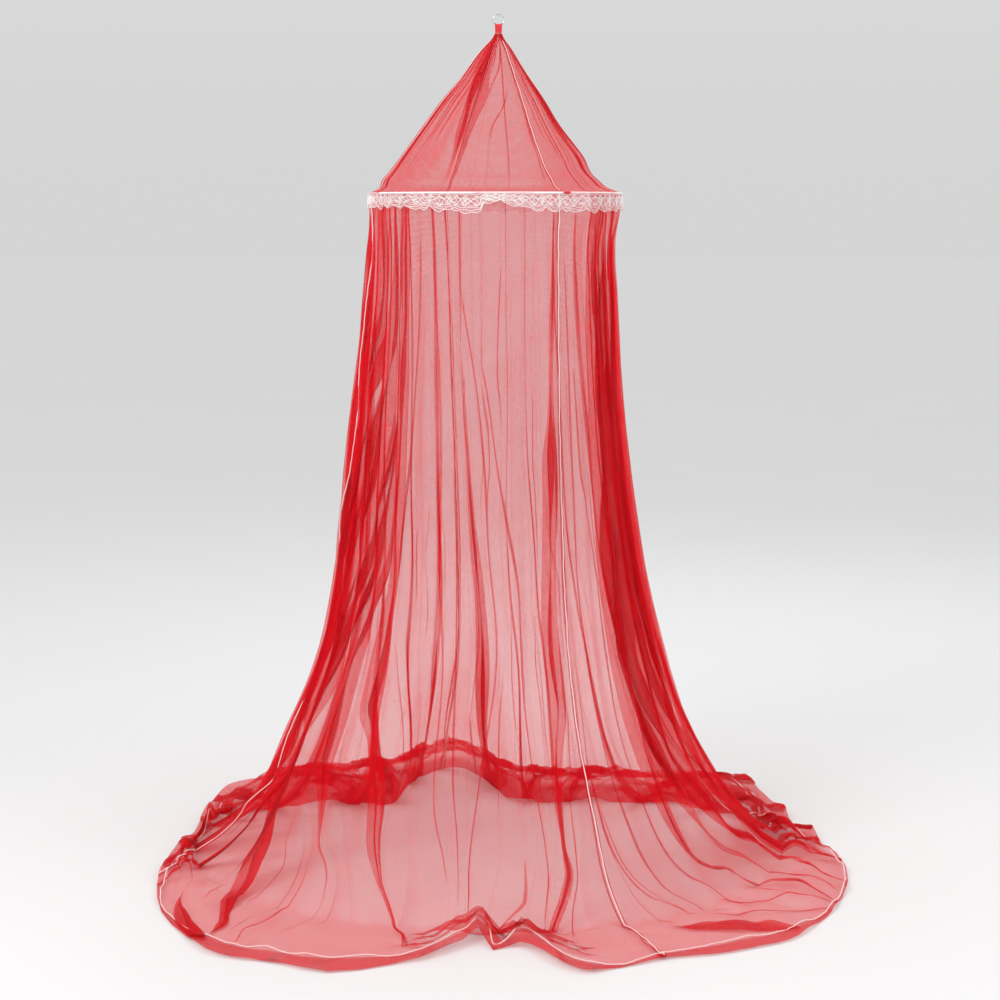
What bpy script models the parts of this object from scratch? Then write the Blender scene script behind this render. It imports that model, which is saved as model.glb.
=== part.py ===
"""Mosquito net canopy: sheer net hung by a ring, spread by a hoop and trailing on the floor.

The origin is the inner top of the hanging ring, where a ceiling hook bears. +Z is up and
the front is -Y. Azimuths are in degrees: 0 is the front, 90 the right, 180 the back.
A "drop" is a depth below the origin, and a "height" is above the floor.
"""

import math
from collections import namedtuple

import bmesh
import bpy
import numpy as np

# Driving dimensions, in metres
FLOOR_DROP = 2.060
HOOP_DROP = 0.424
HOOP_RADIUS = 0.300
HOOP_WIRE_RADIUS = 0.003
HOOP_SHIFT_X = -0.008  # the hoop hangs a little left of the ring
RING_RADIUS = 0.01325  # to the middle of its wire
RING_WIRE_RADIUS = 0.00125
LOOP_WIDTH = 0.017
LOOP_CLOTH = 0.0015
LOOP_FOOT_DROP = 0.0425
LOOP_EYE_RADIUS = RING_WIRE_RADIUS + 0.0009  # where it rounds the wire
NET = 0.0010  # thickness of a sheet of net, and of the lace
GAP = 0.0005  # between sewn pieces
SLANTED_GAP = 0.0015  # between skirt panels at the edge, where a seam slants across the floor
LACE_TOP = 0.0035  # above the hoop's centre

# Mesh density
PANEL_COLUMNS = {"front": 30, "right": 24, "back": 18, "left": 18}
TOP_COLUMNS = 16
LACE_COLUMNS = 96
HOOP_SEGMENTS = 72
RING_SEGMENTS = 36
WIRE_SIDES = 8
LOOP_COLUMNS = 8
LOOP_ARC_STEPS = 6
NORMAL_STEP = 0.4  # degrees, for slopes along a row
SLOPE_STEP = 0.002  # for slopes down the cloth

# The four seams, front-right, back-right, back-left and left. The first is at the end of
# the front panel. Azimuth where each meets the hoop, at half height, on landing and at the hem.
Seam = namedtuple("Seam", "ends_panel hoop waist landing hem")
SEAMS = (
    Seam("front", 29, 28, 26, 24),
    Seam("right", 128, 124, 112, 100),
    Seam("back", 205, 197, 191, 188),
    Seam("left", 285, 273, 270, 288),
)
WAIST_HEIGHT = 0.80

# The top's mean surface: its radius about the hoop's axis towards each side, at a drop
Level = namedtuple("Level", "place front right back left")
HOOP_OUTSIDE = HOOP_RADIUS + HOOP_WIRE_RADIUS + GAP + NET / 2
TOP_OUTSIDE = HOOP_OUTSIDE + 0.0004  # its wider facets cut further inside the round
NECK_RADIUS = 0.0075
TOP_LEVELS = (
    Level(0.0435, NECK_RADIUS, NECK_RADIUS, NECK_RADIUS, NECK_RADIUS),
    Level(0.0560, 0.0140, 0.0130, 0.0140, 0.0150),
    Level(0.0800, 0.0340, 0.0300, 0.0340, 0.0370),
    Level(0.1150, 0.0600, 0.0500, 0.0600, 0.0650),
    Level(0.1550, 0.0890, 0.0750, 0.0890, 0.0930),
    Level(0.2000, 0.1220, 0.1060, 0.1220, 0.1310),
    Level(0.2600, 0.1630, 0.1440, 0.1630, 0.1740),
    Level(0.3300, 0.2140, 0.2000, 0.2140, 0.2250),
    Level(0.3900, 0.2620, 0.2450, 0.2620, 0.2720),
    Level(0.4190, 0.2980, 0.2975, 0.2980, 0.2985),
    Level(0.4203, 0.3028, 0.3028, 0.3028, 0.3028),
    Level(0.4232, TOP_OUTSIDE, TOP_OUTSIDE, TOP_OUTSIDE, TOP_OUTSIDE),
)

# The skirt's mean surface where it hangs: its radius towards each side, at a height
SKIRT_LEVELS = (
    Level(FLOOR_DROP - HOOP_DROP, HOOP_OUTSIDE, HOOP_OUTSIDE, HOOP_OUTSIDE, HOOP_OUTSIDE),
    Level(1.590, 0.303, 0.300, 0.303, 0.303),
    Level(1.520, 0.301, 0.286, 0.301, 0.308),
    Level(1.390, 0.303, 0.291, 0.303, 0.316),
    Level(1.130, 0.313, 0.305, 0.316, 0.342),
    Level(0.890, 0.328, 0.331, 0.330, 0.367),
    Level(0.680, 0.346, 0.369, 0.348, 0.394),
    Level(0.490, 0.383, 0.417, 0.383, 0.442),
    Level(0.340, 0.438, 0.463, 0.438, 0.505),
    Level(0.190, 0.518, 0.539, 0.508, 0.563),
    Level(0.090, 0.565, 0.606, 0.558, 0.622),
    Level(0.030, 0.620, 0.660, 0.605, 0.688),
    Level(0.000, 0.660, 0.705, 0.640, 0.735),
)

# The hem round the floor: radius of the sewn line, width of the frill beyond it, and
# height of the heap in which the cloth lies just inside it
HemPoint = namedtuple("HemPoint", "azimuth line frill heap")
HEM = (
    HemPoint(0, 0.667, 0.035, 0.018),
    HemPoint(6, 0.640, 0.085, 0.020),
    HemPoint(12, 0.840, 0.075, 0.004),
    HemPoint(17, 0.893, 0.020, 0.000),
    HemPoint(25, 0.866, 0.033, 0.000),
    HemPoint(36, 0.880, 0.060, 0.000),
    HemPoint(44, 0.903, 0.045, 0.000),
    HemPoint(53, 0.913, 0.018, 0.000),
    HemPoint(63, 0.900, 0.006, 0.004),
    HemPoint(74, 0.876, 0.008, 0.010),
    HemPoint(85, 0.838, 0.012, 0.015),
    HemPoint(96, 0.785, 0.035, 0.020),
    HemPoint(106, 0.765, 0.050, 0.020),
    HemPoint(116, 0.795, 0.040, 0.020),
    HemPoint(125, 0.840, 0.050, 0.025),
    HemPoint(135, 0.870, 0.060, 0.030),
    HemPoint(147, 0.700, 0.060, 0.045),
    HemPoint(159, 0.625, 0.065, 0.052),
    HemPoint(170, 0.620, 0.065, 0.050),
    HemPoint(179, 0.720, 0.055, 0.045),
    HemPoint(187, 0.890, 0.030, 0.055),
    HemPoint(193, 0.885, 0.030, 0.055),
    HemPoint(200, 0.790, 0.050, 0.050),
    HemPoint(210, 0.780, 0.060, 0.055),
    HemPoint(221, 0.840, 0.050, 0.050),
    HemPoint(232, 0.870, 0.040, 0.030),
    HemPoint(243, 0.820, 0.045, 0.020),
    HemPoint(256, 0.755, 0.040, 0.020),
    HemPoint(268, 0.757, 0.035, 0.018),
    HemPoint(280, 0.800, 0.022, 0.020),
    HemPoint(291, 0.845, 0.016, 0.010),
    HemPoint(300, 0.893, 0.008, 0.000),
    HemPoint(308, 0.920, 0.012, 0.000),
    HemPoint(316, 0.930, 0.040, 0.000),
    HemPoint(324, 0.922, 0.065, 0.000),
    HemPoint(333, 0.900, 0.075, 0.000),
    HemPoint(341, 0.860, 0.080, 0.000),
    HemPoint(348, 0.790, 0.080, 0.004),
    HemPoint(354, 0.685, 0.045, 0.028),
    HemPoint(357, 0.655, 0.040, 0.045),
)

# How much further out than SKIRT_LEVELS the cloth lands on the floor: at the back it bows in and out
Landing = namedtuple("Landing", "azimuth shift")
LANDINGS = (
    Landing(0, 0.000),
    Landing(60, 0.000),
    Landing(115, 0.000),
    Landing(128, -0.030),
    Landing(141, -0.100),
    Landing(153, -0.155),
    Landing(165, -0.190),
    Landing(176, -0.160),
    Landing(183, 0.020),
    Landing(189, 0.170),
    Landing(196, 0.100),
    Landing(204, -0.030),
    Landing(213, -0.160),
    Landing(222, -0.130),
    Landing(233, -0.040),
    Landing(246, 0.000),
    Landing(300, 0.000),
)
LANDING_HEIGHT = 0.50  # where it begins to bow

# The main folds: azimuth below the hoop and on the floor, how far each stands out below
# the hoop, at half height and on the floor, and its half-width in degrees
Fold = namedtuple("Fold", "top foot out_top out_waist out_foot half_width")
SKIRT_FOLDS = (
    Fold(10, 5, 0.003, 0.008, 0.006, 6),
    Fold(26, 22, 0.006, 0.012, 0.012, 5),
    Fold(37, 38, 0.004, 0.008, 0.008, 5),
    Fold(50, 49, 0.012, 0.020, 0.014, 4.5),
    Fold(58, 59, 0.012, 0.022, 0.018, 4),
    Fold(66, 68, 0.012, 0.022, 0.020, 4.5),
    Fold(74, 77, 0.012, 0.022, 0.020, 4.5),
    Fold(83, 87, 0.010, 0.018, 0.018, 4.5),
    Fold(97, 99, 0.006, 0.012, 0.016, 5),
    Fold(112, 114, 0.004, 0.010, 0.014, 6),
    Fold(137, 131, 0.005, 0.010, 0.014, 6),
    Fold(156, 150, 0.004, 0.009, 0.012, 6),
    Fold(176, 171, 0.005, 0.010, 0.012, 6),
    Fold(193, 186, 0.004, 0.009, 0.012, 6),
    Fold(217, 208, 0.005, 0.010, 0.012, 6),
    Fold(234, 228, 0.006, 0.012, 0.014, 6),
    Fold(250, 245, 0.006, 0.012, 0.014, 5),
    Fold(265, 259, 0.008, 0.014, 0.014, 5),
    Fold(275, 276, 0.012, 0.020, 0.016, 4.5),
    Fold(283, 286, 0.012, 0.022, 0.016, 4.5),
    Fold(291, 296, 0.012, 0.022, 0.016, 4.5),
    Fold(299, 306, 0.012, 0.022, 0.016, 4.5),
    Fold(307, 317, 0.012, 0.020, 0.014, 4.5),
    Fold(315, 328, 0.010, 0.018, 0.012, 4.5),
    Fold(326, 340, 0.003, 0.006, 0.006, 5),
    Fold(346, 352, 0.002, 0.006, 0.010, 5),
)
TOP_FOLDS = (
    Fold(8, 8, 0.002, 0.004, 0.003, 9),
    Fold(52, 50, 0.003, 0.006, 0.004, 9),
    Fold(75, 78, 0.003, 0.006, 0.004, 8),
    Fold(118, 115, 0.002, 0.005, 0.003, 9),
    Fold(160, 160, 0.002, 0.005, 0.003, 10),
    Fold(215, 215, 0.003, 0.006, 0.004, 9),
    Fold(250, 250, 0.002, 0.005, 0.003, 9),
    Fold(298, 300, 0.003, 0.007, 0.004, 8),
    Fold(328, 325, 0.003, 0.006, 0.004, 8),
)
FOLDS_BEGIN = 0.030  # below the hoop's centre, under the lace
FOLDS_FULL = 0.150
LYING_HEIGHT = 0.15  # below this the folds turn from standing out to standing up
TOP_FOLDS_GROW = (0.05, 0.40)  # shares of the top's height
TOP_FOLDS_FADE = (0.80, 0.97)
HEAP_REACH = 0.9  # the share of a heap's hump that is over at the edge
EDGE_CALM = 0.6  # how much flatter the folds are at the edge

# Heights of the skirt's rows, then places on the floor from landing (0) to the edge (1)
SKIRT_ROW_HEIGHTS = (
    *(1.6355, 1.590, 1.500, 1.330, 1.130, 0.930, 0.740),
    *(0.570, 0.420, 0.290, 0.180, 0.090, 0.030),
)
FLOOR_ROWS = (0.0, 0.35, 0.68, 1.0)
TOP_ROW_DROPS = (0.0435, 0.070, 0.125, 0.200, 0.290, 0.370, 0.4190, 0.4203, 0.4232)

# The lace's lower edge: how far it hangs below the hoop's centre. Its front is turned up.
LaceEdge = namedtuple("LaceEdge", "azimuth depth")
LACE_EDGE = (
    LaceEdge(0, 0.020),
    LaceEdge(4, 0.019),
    LaceEdge(9, 0.026),
    LaceEdge(14, 0.036),
    LaceEdge(22, 0.038),
    LaceEdge(36, 0.041),
    LaceEdge(50, 0.041),
    LaceEdge(90, 0.038),
    LaceEdge(150, 0.042),
    LaceEdge(210, 0.043),
    LaceEdge(270, 0.036),
    LaceEdge(310, 0.032),
    LaceEdge(340, 0.037),
    LaceEdge(349, 0.044),
    LaceEdge(353, 0.044),
    LaceEdge(355, 0.026),
)
LACE_FLARE = 0.010  # how far its lower edge stands out from its top
LACE_WAVES = 26
LACE_WAVE_OUT = 0.003


def curve_through(x, places, values):
    """A smooth curve through (places, values), read at x: each point's slope is that of its neighbours."""
    places, values = np.asarray(places, float), np.asarray(values, float)
    slopes = np.gradient(values, places)
    x = np.clip(x, places[0], places[-1])
    k = np.clip(np.searchsorted(places, x) - 1, 0, len(places) - 2)
    step = places[k + 1] - places[k]
    t = (x - places[k]) / step
    return (
        values[k] * (1 + 2 * t) * (1 - t) ** 2
        + slopes[k] * step * t * (1 - t) ** 2
        + values[k + 1] * (3 - 2 * t) * t**2
        - slopes[k + 1] * step * (1 - t) * t**2
    )


def round_curve(azimuth, places, values):
    """curve_through for values that repeat after a full turn."""
    places = np.asarray(places, float)
    turns = np.concatenate([places - 360, places, places + 360])
    return curve_through(np.mod(azimuth, 360), turns, np.tile(values, 3))


def smooth_step(x, start, end):
    t = np.clip((x - start) / (end - start), 0, 1)
    return t * t * (3 - 2 * t)


def level_radius(levels, place, azimuth):
    """The mean surface's radius at a place down the cloth and an azimuth."""
    rows = sorted(levels)
    places = [row.place for row in rows]
    angle = np.radians(azimuth)
    ahead, right = np.cos(angle), np.sin(angle)
    shares = {
        "front": np.clip(ahead, 0, None) ** 2,
        "right": np.clip(right, 0, None) ** 2,
        "back": np.clip(-ahead, 0, None) ** 2,
        "left": np.clip(-right, 0, None) ** 2,
    }
    return sum(
        share * curve_through(place, places, [getattr(row, side) for row in rows])
        for side, share in shares.items()
    )


def fold_out(folds, azimuth, down):
    """How far the folds stand out, with down from 0 at the cloth's top to 1 on the floor."""
    total = np.zeros_like(azimuth, dtype=float)
    for fold in folds:
        middle = fold.top + (fold.foot - fold.top) * down
        out = curve_through(down, [0, 0.5, 1], [fold.out_top, fold.out_waist, fold.out_foot])
        away = np.abs(np.mod(azimuth - middle + 180, 360) - 180) / fold.half_width
        total += out * np.cos(np.clip(away, 0, 1) * math.pi / 2) ** 2
    return total


def seam_azimuths(height, along_floor):
    """The azimuths of the four seams at a height, or on the floor from landing (0) to the edge (1)."""
    found = []
    for seam in SEAMS:
        hanging = curve_through(
            height, [0, WAIST_HEIGHT, FLOOR_DROP - HOOP_DROP], [seam.landing, seam.waist, seam.hoop]
        )
        found.append(hanging + (seam.hem - seam.landing) * along_floor)
    return found


def round_points(azimuths, radius, height, shift):
    """Points from their azimuths, their radius about the hoop's axis, and their height above the floor."""
    angle = np.radians(azimuths)
    return np.column_stack([
        shift + radius * np.sin(angle),
        -radius * np.cos(angle),
        height - FLOOR_DROP + np.zeros_like(angle),
    ])


def skirt_row(azimuths, height, along_floor):
    """Points of the skirt's middle surface: hanging while along_floor is 0, then lying on the floor."""
    bow = round_curve(azimuths, [row.azimuth for row in LANDINGS], [row.shift for row in LANDINGS])
    radius = level_radius(SKIRT_LEVELS, height, azimuths) + bow * smooth_step(-height, -LANDING_HEIGHT, 0.0)
    drop_below_hoop = FLOOR_DROP - HOOP_DROP - height
    out = fold_out(SKIRT_FOLDS, azimuths, drop_below_hoop / (FLOOR_DROP - HOOP_DROP))
    out *= smooth_step(drop_below_hoop, FOLDS_BEGIN, FOLDS_FULL)
    if along_floor <= 0:
        lying = smooth_step(-height, -LYING_HEIGHT, 0.0)
        radius += out * (1 - lying)
        return round_points(azimuths, radius, height + NET / 2 + out * lying, HOOP_SHIFT_X)
    line, frill, heap = (
        round_curve(azimuths, [point.azimuth for point in HEM], [getattr(point, name) for point in HEM])
        for name in ("line", "frill", "heap")
    )
    radius += (line + frill - radius) * along_floor
    rise = heap * math.sin(math.pi * along_floor * HEAP_REACH) + out * (1 - EDGE_CALM * along_floor)
    return round_points(azimuths, radius, NET / 2 + np.clip(rise, 0, None), HOOP_SHIFT_X)


def top_row(azimuths, drop):
    """Points of the top's middle surface at a drop."""
    down = (drop - TOP_LEVELS[0].place) / (HOOP_DROP - TOP_LEVELS[0].place)
    free = smooth_step(down, *TOP_FOLDS_GROW) * (1 - smooth_step(down, *TOP_FOLDS_FADE))
    radius = level_radius(TOP_LEVELS, drop, azimuths) + fold_out(TOP_FOLDS, azimuths, down) * free
    return round_points(azimuths, radius, FLOOR_DROP - drop, HOOP_SHIFT_X * smooth_step(down, 0.0, 1.0))


def azimuth_row(panel, columns, seams, radius, gap=GAP):
    """The azimuths of a row's points across a panel, which stops half a gap short of each seam."""
    end = seams[panel]
    start = seams[panel - 1] - (360 if panel == 0 else 0)
    margin = math.degrees(gap / 2 / radius)
    return np.linspace(start + margin, end - margin, columns + 1)


def add_material(obj, name, colour, roughness, metallic=0.0):
    material = bpy.data.materials.get(name) or bpy.data.materials.new(name)
    material.use_nodes = True
    shader = material.node_tree.nodes["Principled BSDF"]
    shader.inputs["Base Color"].default_value = (*colour, 1.0)
    shader.inputs["Roughness"].default_value = roughness
    shader.inputs["Metallic"].default_value = metallic
    obj.data.materials.append(material)


def new_object(name, mesh):
    obj = bpy.data.objects.new(name, mesh)
    bpy.context.scene.collection.objects.link(obj)
    return obj


def sheet_object(name, rows, normals, closed_round=False):
    """A sheet NET thick, from rows of points on its middle surface, top to bottom, and their normals."""
    build = bmesh.new()
    points, outward = np.array(rows), np.array(normals)
    sides = []
    for side in (0.5, -0.5):
        offset = points + outward * NET * side
        sides.append([[build.verts.new(point) for point in row] for row in offset])
    outer, inner = sides
    columns = len(rows[0])
    steps = [(k, (k + 1) % columns) for k in range(columns if closed_round else columns - 1)]
    for row in range(len(rows) - 1):
        for k, n in steps:
            build.faces.new((outer[row][k], outer[row + 1][k], outer[row + 1][n], outer[row][n]))
            build.faces.new((inner[row][k], inner[row][n], inner[row + 1][n], inner[row + 1][k]))
        if not closed_round:
            for k in (0, -1):
                build.faces.new((outer[row][k], outer[row + 1][k], inner[row + 1][k], inner[row][k]))
    for row in (0, -1):
        for k, n in steps:
            build.faces.new((outer[row][k], outer[row][n], inner[row][n], inner[row][k]))
    bmesh.ops.recalc_face_normals(build, faces=build.faces)
    mesh = bpy.data.meshes.new(name)
    build.to_mesh(mesh)
    build.free()
    mesh.shade_smooth()
    mesh.set_sharp_from_angle(angle=math.radians(60))
    return new_object(name, mesh)


def outward_normals(row_at, azimuths, lower):
    """Normals of a surface along a row, from its slopes round the row and down to the points just lower."""
    along = row_at(azimuths + NORMAL_STEP) - row_at(azimuths - NORMAL_STEP)
    normals = np.cross(lower - row_at(azimuths), along)
    return normals / np.linalg.norm(normals, axis=1)[:, None]


def make_skirt_panel(panel):
    """One width of the skirt, from the hoop to the frill's edge."""
    rows, normals = [], []
    stations = [(height, 0.0) for height in SKIRT_ROW_HEIGHTS] + [(0.0, along) for along in FLOOR_ROWS]
    for height, along_floor in stations:
        seams = seam_azimuths(height, along_floor)
        radius = level_radius(SKIRT_LEVELS, height, np.array(seams))[panel]
        gap = GAP + (SLANTED_GAP - GAP) * along_floor
        azimuths = azimuth_row(panel, PANEL_COLUMNS[SEAMS[panel].ends_panel], seams, radius, gap)
        if height > 0:
            lower = skirt_row(azimuths, max(height - SLOPE_STEP, 0.0), 0.0)
        else:
            lower = skirt_row(azimuths, 0.0, along_floor + SLOPE_STEP)
        rows.append(skirt_row(azimuths, height, along_floor))
        normals.append(outward_normals(lambda a: skirt_row(a, height, along_floor), azimuths, lower))
    obj = sheet_object("skirt_panel_" + SEAMS[panel].ends_panel, rows, normals)
    add_material(obj, "net_red", (0.62, 0.008, 0.018), 0.6)


def make_top_panel(panel):
    """One gore of the top, from the gathered tip to the outside of the hoop."""
    seams = [seam.hoop for seam in SEAMS]
    rows, normals = [], []
    for drop in TOP_ROW_DROPS:
        radius = level_radius(TOP_LEVELS, drop, np.array(seams))[panel]
        azimuths = azimuth_row(panel, TOP_COLUMNS, seams, radius)
        lower = top_row(azimuths, drop + SLOPE_STEP)
        rows.append(top_row(azimuths, drop))
        normals.append(outward_normals(lambda a: top_row(a, drop), azimuths, lower))
    obj = sheet_object("top_panel_" + SEAMS[panel].ends_panel, rows, normals)
    add_material(obj, "net_red", (0.62, 0.008, 0.018), 0.6)


def make_lace_trim():
    """The white lace flounce: a gathered band round the outside of the hoop."""
    across = np.arange(LACE_COLUMNS) * 360 / LACE_COLUMNS
    depth = round_curve(across, [edge.azimuth for edge in LACE_EDGE], [edge.depth for edge in LACE_EDGE])
    inside = TOP_OUTSIDE + NET + GAP
    outward = round_points(across, 1.0, FLOOR_DROP, 0.0)
    rows = []
    for share in (0.0, 0.5, 1.0):
        wave = LACE_WAVE_OUT * share * np.sin(np.radians(across) * LACE_WAVES)
        radius = inside + LACE_FLARE * share + wave
        height = FLOOR_DROP - HOOP_DROP + LACE_TOP - share * (LACE_TOP + depth)
        rows.append(round_points(across, radius, height, HOOP_SHIFT_X))
    obj = sheet_object("lace_trim", rows, [outward] * len(rows), closed_round=True)
    add_material(obj, "lace_white", (0.86, 0.83, 0.82), 0.7)


def make_hoop():
    """The plain round hoop that the net is spread by."""
    bpy.ops.mesh.primitive_torus_add(
        location=(HOOP_SHIFT_X, 0, -HOOP_DROP),
        major_radius=HOOP_RADIUS,
        minor_radius=HOOP_WIRE_RADIUS,
        major_segments=HOOP_SEGMENTS,
        minor_segments=WIRE_SIDES,
    )
    obj = bpy.context.object
    obj.name = "hoop"
    obj.data.shade_smooth()
    add_material(obj, "hoop_white", (0.80, 0.79, 0.77), 0.35)


def make_hanging_ring():
    """The wire ring, upright and facing the front, with its inner top at the origin."""
    bpy.ops.mesh.primitive_torus_add(
        location=(0, 0, -(RING_RADIUS - RING_WIRE_RADIUS)),
        rotation=(math.pi / 2, 0, 0),
        major_radius=RING_RADIUS,
        minor_radius=RING_WIRE_RADIUS,
        major_segments=RING_SEGMENTS,
        minor_segments=WIRE_SIDES,
    )
    obj = bpy.context.object
    obj.name = "hanging_ring"
    obj.data.shade_smooth()
    add_material(obj, "ring_steel", (0.62, 0.62, 0.64), 0.25, 1.0)


def loop_sections(x):
    """The loop's eye and its outside in the Y-Z plane at x, where it wraps the ring's wire."""
    wire_drop = RING_RADIUS - RING_WIRE_RADIUS + math.sqrt(RING_RADIUS**2 - x**2)
    sections = []
    for radius, foot_y, foot_drop in (
        (LOOP_EYE_RADIUS, LOOP_CLOTH * 0.4, LOOP_FOOT_DROP - LOOP_CLOTH * 2.5),
        (LOOP_EYE_RADIUS + LOOP_CLOTH, LOOP_CLOTH * 1.5, LOOP_FOOT_DROP),
    ):
        arc = [math.pi * step / LOOP_ARC_STEPS for step in range(LOOP_ARC_STEPS + 1)]
        points = [(radius * math.cos(turn), radius * math.sin(turn) - wire_drop) for turn in arc]
        sections.append(points + [(-foot_y, -foot_drop), (foot_y, -foot_drop)])
    return sections


def make_hanging_loop():
    """The cloth loop: a band over the ring's wire, its two ends sewn together into the net's tip."""
    build = bmesh.new()
    columns = []
    for step in range(LOOP_COLUMNS + 1):
        x = (step / LOOP_COLUMNS - 0.5) * LOOP_WIDTH
        columns.append([[build.verts.new((x, y, z)) for y, z in section] for section in loop_sections(x)])
    count = len(columns[0][0])
    for before, after in zip(columns, columns[1:]):
        for k in range(count):
            n = (k + 1) % count
            build.faces.new((before[0][k], before[0][n], after[0][n], after[0][k]))
            build.faces.new((before[1][k], after[1][k], after[1][n], before[1][n]))
    for eye, outside in (columns[0], columns[-1]):
        for k in range(count):
            n = (k + 1) % count
            build.faces.new((eye[k], outside[k], outside[n], eye[n]))
    bmesh.ops.recalc_face_normals(build, faces=build.faces)
    mesh = bpy.data.meshes.new("hanging_loop")
    build.to_mesh(mesh)
    build.free()
    add_material(new_object("hanging_loop", mesh), "loop_red", (0.70, 0.010, 0.020), 0.65)


def main():
    for obj in list(bpy.data.objects):
        bpy.data.objects.remove(obj)
    make_hanging_ring()
    make_hanging_loop()
    make_hoop()
    make_lace_trim()
    for panel in range(len(SEAMS)):
        make_top_panel(panel)
        make_skirt_panel(panel)


main()
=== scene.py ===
"""Mosquito net canopy: its looks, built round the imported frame.

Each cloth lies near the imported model's mean surface, and its folds, crossing layers, seams, hem and
lace are modelled here. Lengths are in metres and azimuths in degrees: 0 is the front, 90 the right,
180 the back. A drop is a depth below the origin, and a height is above the floor.
"""

import math
from collections import namedtuple

import bpy
import numpy as np
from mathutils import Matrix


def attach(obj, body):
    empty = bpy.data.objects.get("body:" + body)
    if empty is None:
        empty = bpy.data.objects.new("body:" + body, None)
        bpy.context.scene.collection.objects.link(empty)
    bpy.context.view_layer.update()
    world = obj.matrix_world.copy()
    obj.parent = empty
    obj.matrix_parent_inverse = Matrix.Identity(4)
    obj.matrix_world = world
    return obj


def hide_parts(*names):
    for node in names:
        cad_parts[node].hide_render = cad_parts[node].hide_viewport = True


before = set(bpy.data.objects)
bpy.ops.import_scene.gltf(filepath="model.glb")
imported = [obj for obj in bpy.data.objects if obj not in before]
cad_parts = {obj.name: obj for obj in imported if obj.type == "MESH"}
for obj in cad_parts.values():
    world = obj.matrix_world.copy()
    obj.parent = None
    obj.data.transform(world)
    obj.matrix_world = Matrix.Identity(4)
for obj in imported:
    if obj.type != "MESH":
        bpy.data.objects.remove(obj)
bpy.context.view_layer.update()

MM = 0.001

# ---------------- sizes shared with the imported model
FLOOR_DROP = 2.060
HOOP_DROP = 0.424
HOOP_SHIFT_X = -0.008
HOOP_HEIGHT = FLOOR_DROP - HOOP_DROP
HOOP_OUTSIDE = 0.304
RING_RADIUS = 0.01325
RING_WIRE_RADIUS = 0.00125
LOOP_WIDTH = 0.017
LOOP_CLOTH = 0.0015
LOOP_FOOT_DROP = 0.0425
LOOP_EYE_RADIUS = RING_WIRE_RADIUS + 0.0009
NET = 0.0010  # the net's thickness
NECK_DROP = 0.0435
NECK_RADIUS = 0.0075
TOP_FOOT_DROP = 0.4232
TOP_OUTSIDE = 0.3044

# Where each seam runs at the hoop, at the waist, on landing and at the hem, in degrees
Seam = namedtuple("Seam", "ends_panel hoop waist landing hem")
SEAMS = (
    Seam("front", 29, 28, 26, 24),
    Seam("right", 128, 124, 112, 100),
    Seam("back", 205, 197, 191, 188),
    Seam("left", 285, 273, 270, 288),
)
WAIST_HEIGHT = 0.80
# How far the left seam strays from that course, in degrees, by height, or by the share of the way out
# over the floor, less 1 at the edge
LEFT_SEAM_STRAY = (
    (1.63, 0), (1.57, 3.5), (1.4, 4.5), (1.235, 7), (1.11, 10), (0.95, 11.5), (0.8, 10), (0.68, 7),
    (0.55, 7), (0.44, 11.5), (0.36, 13.5), (0.27, 13), (0.18, 8), (0.07, 3), (0, 5), (-0.5, 2), (-1, 0),
)

# The mean surface: a drop (top) or a height (skirt), and the radius at the front, right, back and left
TOP_LEVELS = (
    (NECK_DROP, *[NECK_RADIUS] * 4),
    (0.056, 0.014, 0.013, 0.014, 0.015), (0.08, 0.034, 0.03, 0.034, 0.037),
    (0.115, 0.06, 0.05, 0.06, 0.065), (0.155, 0.089, 0.075, 0.089, 0.093),
    (0.2, 0.122, 0.106, 0.122, 0.131), (0.26, 0.163, 0.144, 0.163, 0.174), (0.33, 0.214, 0.2, 0.214, 0.225),
    (0.39, 0.262, 0.245, 0.262, 0.272), (0.419, 0.298, 0.2975, 0.298, 0.2985),
    (0.4203, 0.3028, 0.3028, 0.3028, 0.3028),
    (TOP_FOOT_DROP, *[TOP_OUTSIDE] * 4),
)
SKIRT_LEVELS = (
    (HOOP_HEIGHT, *[HOOP_OUTSIDE] * 4),
    (1.59, 0.303, 0.3, 0.303, 0.303), (1.52, 0.301, 0.283, 0.301, 0.3), (1.39, 0.303, 0.287, 0.303, 0.307),
    (1.13, 0.313, 0.303, 0.316, 0.337), (0.89, 0.328, 0.329, 0.33, 0.361),
    (0.68, 0.346, 0.363, 0.348, 0.385), (0.49, 0.383, 0.411, 0.383, 0.432),
    (0.34, 0.438, 0.457, 0.438, 0.496), (0.19, 0.518, 0.529, 0.508, 0.558),
    (0.09, 0.565, 0.606, 0.558, 0.622), (0.03, 0.62, 0.66, 0.605, 0.688), (0, 0.66, 0.705, 0.64, 0.735),
)

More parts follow.
